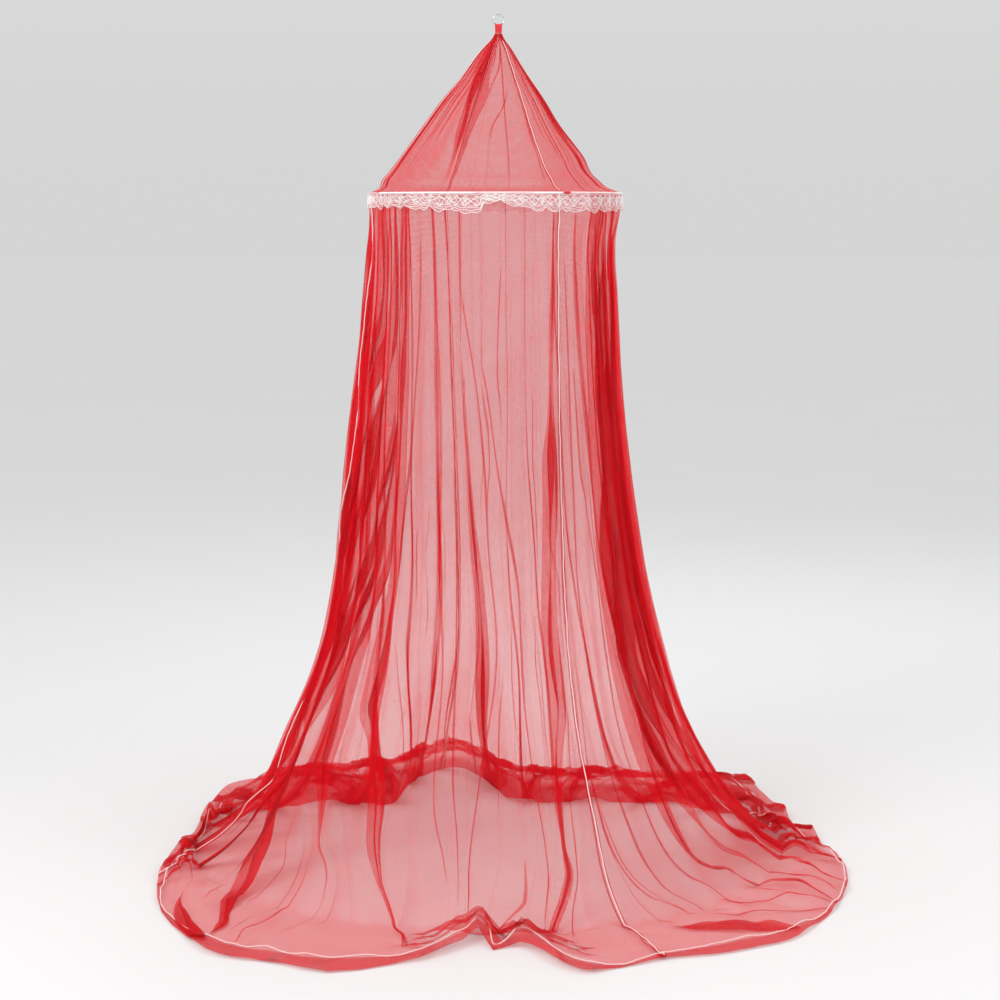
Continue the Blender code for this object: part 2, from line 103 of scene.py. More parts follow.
# The hem: azimuth, and in mm its sewn line's radius, the frill's width beyond and the heap's height inside
HEM = (
    (0, 667, 35, 18), (6, 640, 85, 20), (12, 840, 75, 4), (17, 893, 20, 0), (25, 866, 33, 0),
    (36, 880, 60, 0), (44, 903, 45, 0), (53, 913, 18, 0), (63, 900, 6, 4), (74, 876, 8, 10),
    (85, 838, 12, 15), (96, 785, 35, 20), (106, 765, 50, 20), (116, 795, 40, 20), (125, 840, 50, 25),
    (135, 870, 60, 30), (147, 700, 60, 45), (159, 625, 65, 52), (170, 620, 65, 50), (179, 720, 55, 45),
    (187, 890, 30, 55), (193, 885, 30, 55), (200, 790, 50, 50), (210, 780, 60, 55), (221, 840, 50, 50),
    (232, 870, 40, 30), (243, 820, 45, 20), (256, 755, 40, 20), (268, 757, 35, 18), (280, 800, 22, 20),
    (291, 845, 16, 10), (300, 893, 8, 0), (308, 920, 12, 0), (316, 930, 40, 0), (324, 922, 65, 0),
    (333, 900, 75, 0), (341, 860, 80, 0), (348, 790, 80, 4), (354, 685, 45, 28), (357, 655, 40, 45),
)
# How much further out than SKIRT_LEVELS the cloth lands, in mm by azimuth: at the back it bows in and out
LANDINGS = (
    (0, 0), (60, 0), (115, 0), (128, -30), (141, -100), (153, -155), (165, -190), (176, -160), (183, 20),
    (189, 170), (196, 100), (204, -30), (213, -160), (222, -130), (233, -40), (246, 0), (300, 0),
)
LANDING_HEIGHT = 0.50  # below it the cloth bows out

# The main folds: azimuth at the top and at the foot, how far each stands out at the top, halfway and at
# the foot in mm, and its half-width in degrees
SKIRT_FOLDS = (
    (10, 5, 3, 8, 6, 6), (26, 22, 6, 12, 12, 5), (37, 38, 4, 8, 8, 5), (50, 49, 12, 20, 14, 4.5),
    (58, 59, 12, 22, 18, 4), (66, 68, 12, 22, 20, 4.5), (74, 77, 12, 22, 20, 4.5),
    (83, 87, 10, 18, 18, 4.5), (97, 99, 6, 12, 16, 5), (112, 114, 4, 10, 14, 6), (137, 131, 5, 10, 14, 6),
    (156, 150, 4, 9, 12, 6), (176, 171, 5, 10, 12, 6), (193, 186, 4, 9, 12, 6), (217, 208, 5, 10, 12, 6),
    (234, 228, 6, 12, 14, 6), (250, 245, 6, 12, 14, 5), (265, 259, 8, 14, 14, 5),
    (275, 276, 12, 20, 16, 4.5), (283, 286, 12, 22, 16, 4.5), (291, 296, 12, 22, 16, 4.5),
    (299, 306, 12, 22, 16, 4.5), (307, 317, 12, 20, 14, 4.5), (315, 328, 10, 18, 12, 4.5),
    (326, 340, 3, 6, 6, 5), (346, 352, 2, 6, 10, 5),
)
TOP_FOLDS = (
    (8, 8, 2, 4, 3, 9), (52, 50, 3, 6, 4, 9), (75, 78, 3, 6, 4, 8), (118, 115, 2, 5, 3, 9),
    (160, 160, 2, 5, 3, 10), (215, 215, 3, 6, 4, 9), (250, 250, 2, 5, 3, 9), (298, 300, 3, 7, 4, 8),
    (328, 325, 3, 6, 4, 8),
)
FOLDS_BEGIN = 0.030  # below the hoop
FOLDS_FULL = 0.150
TOP_FOLDS_GROW = (0.05, 0.40)
TOP_FOLDS_FADE = (0.80, 0.97)
LYING_HEIGHT = 0.15  # below it the folds turn from standing out to standing up
HEAP_REACH = 0.9  # under 1, so that some of the heap's height is left at the edge
EDGE_CALM = 0.6  # how much lower the folds are at the edge
RUMPLE = 0.0035
RUMPLE_AT_HOOP = 0.4  # its share there
RIPPLE_SHARE = 0.45  # of the finer waves
TOP_RUMPLE = 0.0016
TOP_SEAM_STRAY = 1.5  # degrees that the top's front-right seam strays over the hoop
TOP_SEAM_REACH = 9  # degrees to both sides of it

# How much the cloth that lies inside the hem is rolled up in folds, by azimuth
ROLLED = (
    (0, 1), (6, 1), (12, 0.5), (20, 0), (50, 0), (80, 0), (92, 0.35), (105, 0.8), (125, 1), (170, 1),
    (215, 1), (240, 1), (262, 1), (272, 0.9), (281, 0.6), (289, 0.25), (297, 0), (305, 0), (343, 0),
    (349, 0.6), (356, 1),
)
ROLL_SWING = 0.22
ROLL_TURNS = 3.6
ROLL_STRAY = 2.0
ROLL_RISE = 0.009
# The crumpled dent in the front hem: azimuth, how far its line is moved out, and how far up, in mm
DENT = (
    (-10, 0, 0), (-7.5, 12, 0), (-5.5, 20, 0), (-3.4, -3, 6), (-1.1, 0, 9), (-0.3, 60, -12),
    (1.8, 50, -8), (4.5, 35, 0), (6.7, 30, 0), (8.2, 30, 0), (10, 20, 0), (14, 0, 0),
)
PEAK_AZIMUTH = 259  # a tip of the hem that stands up at the left
PEAK_RISE = 0.042
PEAK_WIDTH = 3.1
LINE_STRAY = 0.004  # of the sewn line, where the cloth is rolled up
FRILL_STRAY = 0.13  # of the frill's width
RUFFLE = (0.06, 0.0035, 0.001)  # of the frill's width, where it is rolled up, and everywhere
UNDERSIDE = 0.4  # how much of the ruffle the turned-under edge keeps
FLOOR_RIPPLE = 0.0012

# ---------------- the crossing layers
# A pleat is a band where the net lies three deep. Each is a list of (level, azimuth, width in mm).
# On the skirt a level above 0 is a height over the floor, and one below 0 is the share of the way out
# over the floor, less 1 at the edge. On the top it is the height over the hoop as a share. At width 0
# there is no pleat. A pleat wider than DENSE is two that lie half over each other.
SKIRT_PLEATS = {
    "front": (
        ((1.6, -70, 4), (1.4, -71, 5), (1.23, -72, 20), (1.15, -72, 26), (0.8, -77, 30), (0.45, -75, 24),
         (0.3, -73, 22), (0.2, -77, 24), (-0.3, -79, 24), (-0.7, -72, 16), (-0.95, -69, 6)),
        ((1.6, -59.5, 22), (1.48, -57.8, 33), (1.34, -57.2, 44), (1.23, -61.5, 50), (1.15, -63.5, 44),
         (0.95, -66.5, 44), (0.8, -69.3, 44), (0.45, -71, 36), (0.3, -67.5, 24), (0.2, -72, 26),
         (0.05, -79, 26), (-0.3, -76, 18), (-0.6, -70, 0)),
        ((1.6, -56.5, 0), (1.15, -60, 0), (0.8, -66, 0), (0.2, -71, 0), (0, -71, 0), (-0.5, -65, 0),
         (-0.6, -62, 3), (-0.65, -59.5, 40), (-0.7, -55.8, 92), (-0.74, -53, 126), (-0.82, -49, 146),
         (-0.9, -46.5, 120), (-0.97, -45, 0)),
        ((1.6, -54, 3), (1.47, -52.8, 3), (1.3, -52.6, 4), (1.15, -55.5, 12), (0.95, -58.7, 34),
         (0.8, -62, 44), (0.45, -68, 42), (0.25, -70, 34), (0.15, -69, 30), (0.08, -67, 12), (0.02, -65, 0)),
        ((1.6, -52, 0), (1.15, -52.5, 0), (0.8, -58.5, 0), (0.25, -70, 0), (0.18, -72, 50),
         (0.12, -69.5, 84), (0.08, -66, 88), (0.04, -62.3, 76), (0.02, -60.2, 70), (0, -58.5, 67),
         (-0.18, -54.6, 62), (-0.32, -52, 49), (-0.45, -49.6, 38), (-0.63, -45.9, 22), (-0.73, -44.3, 8),
         (-0.85, -43, 0)),
        ((1.6, -49.5, 10), (1.48, -48.4, 13), (1.34, -47.2, 25), (1.23, -48.6, 36), (1.1, -49.5, 40),
         (0.95, -51.5, 42), (0.8, -54.7, 42), (0.45, -64, 34), (0.3, -66, 18), (0.18, -66, 0)),
        ((1.6, -46.5, 0), (1.15, -45.5, 0), (0.8, -51, 0), (0.45, -60, 0), (0.3, -60, 0), (0.18, -54, 0),
         (0.05, -47, 3), (-0.3, -44, 3), (-0.58, -42, 2.5), (-0.75, -41.5, 0)),
        ((1.6, -46, 0), (1.15, -45, 0), (0.8, -50.5, 0), (0.45, -59.5, 0), (0.3, -59, 0), (0.18, -52, 0),
         (0.04, -44, 2.5), (-0.4, -41, 3), (-0.72, -39.5, 2.5), (-0.85, -39, 0)),
        ((1.6, -45.6, 3), (1.4, -44, 3), (1.23, -43.8, 4), (1.12, -44.2, 8), (0.95, -45.5, 22),
         (0.8, -47.5, 34), (0.5, -55, 34), (0.31, -54, 26), (0.22, -51, 18), (0.15, -47, 9), (0.09, -41, 3),
         (0.02, -37, 0)),
        ((1.6, -43, 12), (1.48, -42, 12), (1.34, -40.9, 11), (1.23, -40.5, 16), (1.11, -40.3, 23),
         (0.95, -40, 27), (0.8, -40.5, 31), (0.62, -41.7, 34), (0.45, -43, 36), (0.36, -38.5, 40),
         (0.25, -32.5, 34), (0.13, -29, 22), (0.08, -26.3, 12), (0.06, -24.5, 8), (0.03, -21.8, 7),
         (0, -19.3, 6), (-0.33, -16, 5), (-0.65, -13, 3), (-0.8, -11, 0)),
        ((1.56, -34, 0), (1.45, -34, 3), (1.16, -36, 4), (0.9, -37, 3), (0.7, -37, 0)),
        ((1.56, -29, 0), (1.45, -27.5, 2), (1.3, -25.5, 3), (1.1, -23.5, 4), (0.9, -22, 6), (0.6, -20, 5),
         (0.35, -18, 3), (0.25, -16, 2), (0.14, -12, 3), (0.06, -10, 0)),
        ((0.9, -16, 0), (0.75, -15, 3), (0.5, -13, 5), (0.3, -12, 3), (0.2, -10, 3), (0.1, -9, 2),
         (0, -8, 0)),
        ((1.42, -15, 0), (1.34, -13, 3), (1.17, -8, 3.4), (0.98, -4, 5), (0.8, -2, 4), (0.6, 0, 3.4),
         (0.3, -4, 3), (0.1, -6, 2), (0, -6, 0)),
        ((1.25, -7, 0), (0.98, -1, 0), (0.8, 2, 0), (0.6, 5, 0), (0.3, 5, 0), (0.16, 6.5, 0),
         (0.09, 6.5, 4), (0.05, 6, 6), (0.02, 2.5, 6), (0, 0, 5), (-0.3, -1.5, 4), (-0.6, -3, 0)),
        ((1.25, -6, 0), (1.17, -3, 3), (0.98, 2, 4), (0.87, 5, 5), (0.7, 9, 5), (0.5, 10, 3), (0.3, 11, 2),
         (0.12, 12, 3), (0, 9, 0)),
        ((1.62, 26, 0), (1.5, 25.5, 5), (1.35, 25, 9), (1.16, 24.5, 8), (1, 23.5, 24), (0.8, 21.5, 27),
         (0.63, 21, 26), (0.47, 21.5, 28), (0.36, 19, 24), (0.26, 17, 18), (0.16, 16.5, 8), (0.11, 17, 14),
         (0.06, 15, 16), (0, 11, 12), (-0.3, 9, 0)),
    ),
    "right": (
        ((0.3, 28, 0), (0, 30.5, 0), (-0.15, 32.5, 0), (-0.23, 34, 12), (-0.3, 37, 66), (-0.45, 40.5, 118),
         (-0.6, 43, 110), (-0.75, 45, 66), (-0.93, 48, 0)),
        ((0.6, 30, 0), (0.4, 29.5, 4), (0.28, 29, 6), (0.16, 30, 5), (0.1, 31.5, 4), (0.04, 35, 5),
         (0.01, 40, 5), (-0.1, 43, 5), (-0.27, 46, 5), (-0.52, 53, 5), (-0.83, 57, 4)),
        ((1.5, 33, 0), (1.4, 33.5, 3), (1.16, 34, 4), (0.9, 34, 3), (0.56, 34.5, 4), (0.37, 35.5, 4),
         (0.27, 36, 4), (0.14, 37, 5), (0.05, 39.5, 4), (0.01, 44, 4), (-0.12, 46.5, 3), (-0.25, 47.5, 0)),
        ((1.25, 36, 0), (1.16, 36.5, 4), (0.99, 37.5, 4), (0.86, 42, 4), (0.71, 44, 5), (0.54, 44, 4),
         (0.4, 43, 4), (0.2, 42.5, 4), (0.11, 44, 5), (0.05, 47, 5), (0.01, 51.5, 5), (-0.15, 54, 4),
         (-0.4, 58, 4), (-0.7, 60, 3), (-0.9, 60, 0)),
        ((1.6, 50, 18), (1.41, 49.5, 28), (1.2, 48.8, 34), (0.94, 49, 40), (0.66, 49, 44), (0.54, 48.5, 40),
         (0.31, 49.5, 30), (0.18, 49.5, 20), (0.1, 51, 16), (0.05, 57, 12), (0.01, 63, 10), (-0.15, 66, 9),
         (-0.32, 66.5, 9), (-0.68, 64, 7), (-0.93, 58, 4)),
        ((1.6, 54.5, 22), (1.41, 53.5, 32), (1.2, 52.4, 40), (0.94, 52.5, 50), (0.66, 52.5, 52),
         (0.4, 54.5, 46), (0.24, 57, 36), (0.15, 59, 24), (0.09, 63, 14), (0.03, 68, 8), (-0.1, 70, 6),
         (-0.37, 69, 5), (-0.6, 68, 4), (-0.9, 64, 0)),
        ((1.6, 59.5, 6), (1.5, 59.3, 10), (1.4, 58.8, 24), (1.2, 58.3, 42), (0.94, 59.5, 52),
         (0.66, 59.5, 60), (0.4, 61, 64), (0.22, 66, 56), (0.12, 70, 40), (0.05, 77, 26), (-0.07, 79, 16),
         (-0.35, 76, 9), (-0.67, 72, 7), (-0.93, 68, 4)),
        ((1.6, 67, 22), (1.5, 67, 22), (1.38, 65.7, 24), (1.2, 64.2, 32), (0.94, 65, 40), (0.66, 66, 46),
         (0.4, 69, 52), (0.2, 77, 48), (0.05, 86, 40), (-0.2, 86, 34), (-0.6, 84, 24), (-0.9, 82, 10)),
        ((1.6, 77, 5), (1.3, 78, 3), (0.9, 80, 3), (0.5, 82, 8), (0.2, 88, 26), (0, 93, 40), (-0.4, 91, 44),
         (-0.9, 88, 30)),
        ((1.6, 90, 3), (1.2, 92, 3), (0.8, 94, 3), (0.4, 96, 8), (0.1, 99, 28), (-0.3, 98, 44),
         (-0.9, 94, 26)),
        ((1.6, 104, 3), (1, 106, 5), (0.5, 106, 8), (0.1, 105, 26), (-0.5, 102, 40), (-0.95, 99, 20)),
        ((1.6, 118, 8), (1, 117, 10), (0.5, 113, 12), (0.1, 109, 18), (-0.5, 105, 26)),
    ),
    "back": (
        ((1.6, 138, 6), (1.2, 136, 8), (0.8, 132, 10), (0.4, 127, 12), (0, 122, 36), (-0.6, 118, 50),
         (-0.95, 112, 40)),
        ((1.5, 150, 0), (1.2, 149, 2.5), (0.8, 147, 3), (0.4, 143, 5), (0.1, 139, 16), (-0.3, 136, 60),
         (-0.9, 131, 56)),
        ((1.3, 166, 0), (1, 165, 2), (0.6, 162, 3), (0.3, 160, 6), (0.05, 157, 20), (-0.3, 154, 60),
         (-0.95, 151, 60)),
        ((0.8, 175, 0), (0.6, 174, 2.5), (0.3, 171, 6), (0.05, 169, 16), (-0.3, 168, 54), (-0.95, 166, 54)),
        ((1.25, 197, 0), (1.1, 195, 4), (0.8, 190, 10), (0.6, 187, 20), (0.4, 185, 23), (0.2, 184, 20),
         (0.05, 182, 20), (-0.3, 180, 60), (-0.95, 178, 60)),
    ),
    "left": (
        ((1.6, 212, 6), (1, 207, 8), (0.5, 203, 12), (0.1, 200, 16), (-0.3, 198, 50), (-0.95, 197, 50)),
        ((1.6, 226, 3), (1, 220, 4), (0.5, 215, 8), (0.1, 211, 20), (-0.3, 210, 70), (-0.95, 209, 64)),
        ((1.6, 240, 6), (1, 233, 6), (0.5, 227, 8), (0.1, 223, 24), (-0.3, 222, 76), (-0.95, 222, 70)),
        ((1.6, 252, 5), (1.4, 249.5, 7), (1.2, 247, 12), (0.8, 243, 19), (0.4, 240, 22), (0.1, 238, 30),
         (-0.4, 239, 50), (-0.95, 240, 44)),
        ((1.6, 260, 5), (1.4, 258, 8), (1.2, 256, 14), (0.8, 252, 32), (0.4, 249, 34), (0.1, 248, 34),
         (-0.4, 251, 50), (-0.95, 254, 50)),
        ((1.6, 269, 6), (1.4, 266.5, 8), (1.2, 264, 16), (0.8, 260, 38), (0.4, 257, 42), (0.1, 257, 44),
         (-0.4, 263, 60), (-0.95, 268, 56)),
        ((1.6, 277, 5), (1.4, 274.5, 7), (1.2, 272, 14), (0.8, 267, 32), (0.4, 265, 38), (0.1, 266, 46),
         (-0.4, 274, 64), (-0.95, 281, 60)),
    ),
}
TOP_PLEATS = {
    "front": (
        ((1, -70, 2), (0.7, -70, 14), (0.35, -68, 26), (0, -68, 14)),
        ((1, -58, 2), (0.75, -57, 7), (0.5, -60, 6), (0.25, -62, 0)),
        ((1, -46, 3), (0.75, -46, 10), (0.55, -50, 6), (0.4, -52, 4), (0.3, -53, 0)),
        ((1, -36, 3), (0.72, -38, 7), (0.5, -43, 5), (0.3, -47, 0)),
        ((0.95, -10, 0), (0.85, -9, 1.6), (0.7, -14, 0)),
        ((0.95, 6, 0), (0.82, 4, 2.4), (0.65, -9, 2), (0.55, -12, 0)),
        ((0.7, 14, 0), (0.55, 8, 2), (0.4, -3, 2.4), (0.3, -6, 0)),
        ((1, 24, 2), (0.9, 25, 3), (0.7, 26, 2), (0.5, 26, 3), (0.2, 27, 0)),
    ),
    "right": (
        ((0.8, 34, 0), (0.65, 35, 2.4), (0.4, 38, 2.4), (0.25, 41, 0)),
        ((0.9, 40, 0), (0.6, 42, 3), (0.3, 44, 2), (0.15, 45, 0)),
        ((1, 52, 2), (0.8, 52, 4), (0.4, 52, 3), (0, 51, 3)),
        ((1, 58, 2), (0.8, 58, 5), (0.4, 57, 4), (0, 55, 3)),
        ((1, 70, 4), (0.8, 68, 18), (0.4, 67, 30), (0, 66, 18)),
        ((1, 84, 4), (0.8, 82, 20), (0.4, 80, 34), (0, 80, 22)),
        ((1, 108, 2), (0.7, 106, 8), (0.3, 106, 10), (0, 106, 3)),
    ),
    "back": (
        ((1, 142, 2), (0.7, 146, 5), (0.35, 150, 3), (0, 152, 0)),
        ((1, 172, 2), (0.7, 172, 4), (0.3, 172, 2), (0, 172, 0)),
        ((1, 196, 5), (0.85, 198, 16), (0.7, 199.5, 22), (0.5, 201.5, 15), (0.3, 203, 8), (0.1, 204, 0)),
    ),
    "left": (
        ((1, 213, 5), (0.85, 211.5, 20), (0.6, 210, 25), (0.4, 209, 15), (0.2, 208.5, 4), (0, 208.5, 0)),
        ((1, 236, 2), (0.7, 238, 5), (0.35, 240, 4), (0, 242, 2)),
        ((1, 256, 3), (0.7, 258, 16), (0.35, 260, 24), (0, 262, 14)),
        ((1, 276, 3), (0.7, 275, 14), (0.35, 275, 22), (0, 275, 14)),
    ),
}
TURNED_IN = 4.5  # mm that a panel is turned in along its seams
TOP_TURNED_IN = 0.7  # the top's share of that
DENSE = 24
SINGLE = {"front": (2, 4), "right": (0,), "back": (), "left": ()}  # wide pleats that aren't doubled
DENSE_SPREAD = 0.27  # how far the two lie from the pleat's middle, of its width
DENSE_SHARE = 0.80  # width of each of the two
# Fine creases between the pleats, placed by chance: how many to a panel, and the limits of each draw
FINE_CREASES = {"front": 17, "right": 7, "back": 14, "left": 6}
FINE_MIDDLE = (-0.2, 1.35)
FINE_REACH = (0.12, 0.34)
FINE_GAP = 3  # degrees that a gap must have for one
FINE_SHARE = (0.2, 0.8)  # where it lies in its gap
FINE_STRAY = 0.07
FINE_WIDTH = (1.2, 2.6)
FINE_STEP = 0.2  # between the levels above and below it
LAYER = 0.0011  # between the layers of a pleat
FLOOR_LENGTH = 0.22  # of the cloth over the floor
NARROWEST = 0.003  # columns of a pleat keep this width where it has faded away
FULL_PLEAT = 0.0022  # width at which a pleat is fully folded
CREASE_WIDTH = 6  # mm: a pleat that stays narrower has fewer columns
LEAST_STEP = 0.15  # degrees between the middles of two pleats
CROSSED = 0.008  # overlap at which one pleat lies wholly on the next
BEND = 0.0016  # how wide a fold's bend is; it takes the places at 0.9 below
WIDEST_BEND = 0.35  # of the half-width
HOLLOW = (0.004, 0.025)  # widths of flat cloth between which it comes to lie low between pleats
WAVY = 0.25  # how far a pleat's width comes and goes
WAVY_SINGLE = 0.06
WANDER_BY = 0.4  # degrees that a pleat strays
# Places across a pleat, from -1 to 1, and the layers that they lie on: out, back and out again
PLEAT = (
    (-1.0, 0.0, 0.9, 1.0, 0.9, 0.0, -0.9, -1.0, -0.9, 0.0, 1.0),
    (0.0, 0.0, 0.1, 0.5, 0.9, 1.0, 1.1, 1.5, 1.9, 2.0, 2.0),
)
CREASE = (
    (-1.0, 0.9, 1.0, -1.0, -0.9, 1.0),
    (0.0, 0.2, 0.9, 1.1, 1.8, 2.0),
)
TOP_LIFT = 0.6  # the top's layers lie closer than the skirt's

HANGING_ROWS = 132
FLOOR_ROWS = 46
FRILL_ROWS = 10
TOP_ROWS = 64
ROWS_CROWD = 1.15  # towards the neck
FLAT_STEP = {"front": 1.8, "right": 1.1, "back": 1.1, "left": 1.1}  # degrees between the flat columns
TOP_FLAT_STEP = 1.6
DENT_STEP = 0.8
LINE_SHARE = 0.86  # how far along the floor the sewn line lies, for the slant of the seams

SEAM_RADIUS = 0.0013
SEAM_STRAY = 0.00045
SEAM_LIFT = 0.0036
LEFT_SEAM_LIFT = 0.0068  # where it hangs, clear of the folds beside it
SEEN_INSIDE = (1, 2)  # the seams whose inside shows, at the back
SEAM_INSIDE = -0.0024
INSIDE_RADIUS = 0.0020
TOP_SEAM_SHARE = 0.66
HEM_RADIUS = 0.0013
HEM_LIFT = 0.0030
KNOT_SPAN = (1.4, 5.8)
KNOT_STEPS = 24
KNOT_RADIUS = (0.0006, 0.0030)


# ---------------- curves and noise
def hermite(x, places, values, slopes):
    """A curve through (places, values) with those slopes, read at x."""
    x = np.clip(x, places[0], places[-1])
    k = np.clip(np.searchsorted(places, x) - 1, 0, len(places) - 2)
    step = places[k + 1] - places[k]
    t = (x - places[k]) / step
    return (
        values[k] * (1 + 2 * t) * (1 - t) ** 2
        + slopes[k] * step * t * (1 - t) ** 2
        + values[k + 1] * (3 - 2 * t) * t**2
        - slopes[k + 1] * step * (1 - t) * t**2
    )


def curve_through(x, places, values):
    """A smooth curve through (places, values), read at x."""
    places, values = np.asarray(places, float), np.asarray(values, float)
    return hermite(x, places, values, np.gradient(values, places))


def steady_curve(x, places, values):
    """A smooth curve through (places, values) that never swings past them, read at x."""
    places, values = np.asarray(places, float), np.asarray(values, float)
    steps = np.diff(places)
    rates = np.diff(values) / steps
    slopes = np.zeros_like(values)
    slopes[0], slopes[-1] = rates[0], rates[-1]
    agree = rates[1:] * rates[:-1] > 0
    before, after = rates[:-1][agree], rates[1:][agree]
    weight = (steps[1:] + steps[:-1])[agree]
    ahead, behind = (weight + steps[1:][agree]) / 3, (weight + steps[:-1][agree]) / 3
    slopes[1:-1][agree] = weight / (ahead / before + behind / after)
    return hermite(x, places, values, slopes)


def round_curve(azimuth, places, values):
    """curve_through for values that repeat after a full turn."""
    places = np.asarray(places, float)
    turns = np.concatenate([places - 360, places, places + 360])
    return curve_through(np.mod(azimuth, 360), turns, np.tile(values, 3))


def smooth_step(x, start, end):
    t = np.clip((x - start) / (end - start), 0, 1)
    return t * t * (3 - 2 * t)


def signed(azimuth):
    """The same azimuth between -180 and 180."""
    return np.mod(azimuth + 180, 360) - 180


class Waves:
    """A soft noise over azimuth and place, from seeded waves that meet again after a full turn."""

    def __init__(self, seed, count, fewest, most, along):
        random = np.random.default_rng(seed)
        self.rounds = random.integers(fewest, most + 1, count)
        self.along = random.uniform(-along, along, count)
        self.phase = random.uniform(0, math.tau, count)
        self.drift = random.uniform(0.3, 1.2, count)
        self.drift_phase = random.uniform(0, math.tau, count)
        self.size = random.uniform(0.5, 1.0, count) / math.sqrt(count) * 1.4

    def at(self, azimuth, place):
        total = 0.0
        for k in range(len(self.rounds)):
            drift = self.drift[k] * np.sin(place * 5.0 + self.drift_phase[k])
            turn = np.radians(azimuth) * self.rounds[k] + place * self.along[k] + self.phase[k]
            total = total + self.size[k] * np.sin(turn + drift)
        return total


SWAY = Waves(3, 7, 3, 12, 5.0)
RIPPLE = Waves(5, 9, 24, 70, 9.0)
CRUMPLE = Waves(7, 10, 14, 48, 6.0)
FRILL_WAVE = Waves(11, 9, 9, 34, 3.0)
WANDER = Waves(13, 6, 2, 9, 11.0)


# ---------------- the cloth's mean surface
def level_radius(levels, place, azimuth):
    """The mean surface's radius at a place down the cloth and an azimuth."""
    places, *sides = zip(*sorted(levels))
    angle = np.radians(azimuth)
    ahead, right = np.cos(angle), np.sin(angle)
    return sum(
        np.clip(way, 0, None) ** 2 * curve_through(place, places, radii)
        for way, radii in zip((ahead, right, -ahead, -right), sides)
    )


def fold_out(folds, azimuth, down):
    """How far the main folds stand out, with down from 0 at the cloth's top to 1 on the floor."""
    total = np.zeros_like(azimuth, dtype=float)
    for top, foot, *outs, half_width in folds:
        middle = top + (foot - top) * down
        away = np.abs(signed(azimuth - middle)) / half_width
        out = MM * curve_through(down, [0, 0.5, 1], outs)
        total += out * np.cos(np.clip(away, 0, 1) * math.pi / 2) ** 2
    return total


def seam_azimuths(height, along_floor):
    """The azimuths of the four seams at a height, or on the floor from landing (0) to the edge (1)."""
    azimuths = [
        curve_through(height, [0, WAIST_HEIGHT, HOOP_HEIGHT], [seam.landing, seam.waist, seam.hoop])
        + (seam.hem - seam.landing) * along_floor
        for seam in SEAMS
    ]
    azimuths[-1] += steady_curve(height - along_floor, *zip(*sorted(LEFT_SEAM_STRAY)))
    return azimuths


def panel_ends(panel, height, along_floor):
    """The azimuths of a skirt panel's two edges."""
    seams = seam_azimuths(height, along_floor)
    return seams[panel - 1] - (360 if panel == 0 else 0), seams[panel]


def round_points(azimuths, radius, height, shift):
    angle = np.radians(azimuths)
    return np.column_stack([
        shift + radius * np.sin(angle),
        -radius * np.cos(angle),
        height - FLOOR_DROP + np.zeros_like(angle),
    ])


def beyond_line(place):
    """How far out the frill lies: 0 at the sewn line and 1 at its edge, where it turns under and back."""
    return max(1 - abs(place - 3), 0) if place > 2 else 0.0


def along_floor(place):
    return LINE_SHARE * min(max(place - 1, 0), 1) + (1 - LINE_SHARE) * beyond_line(place)


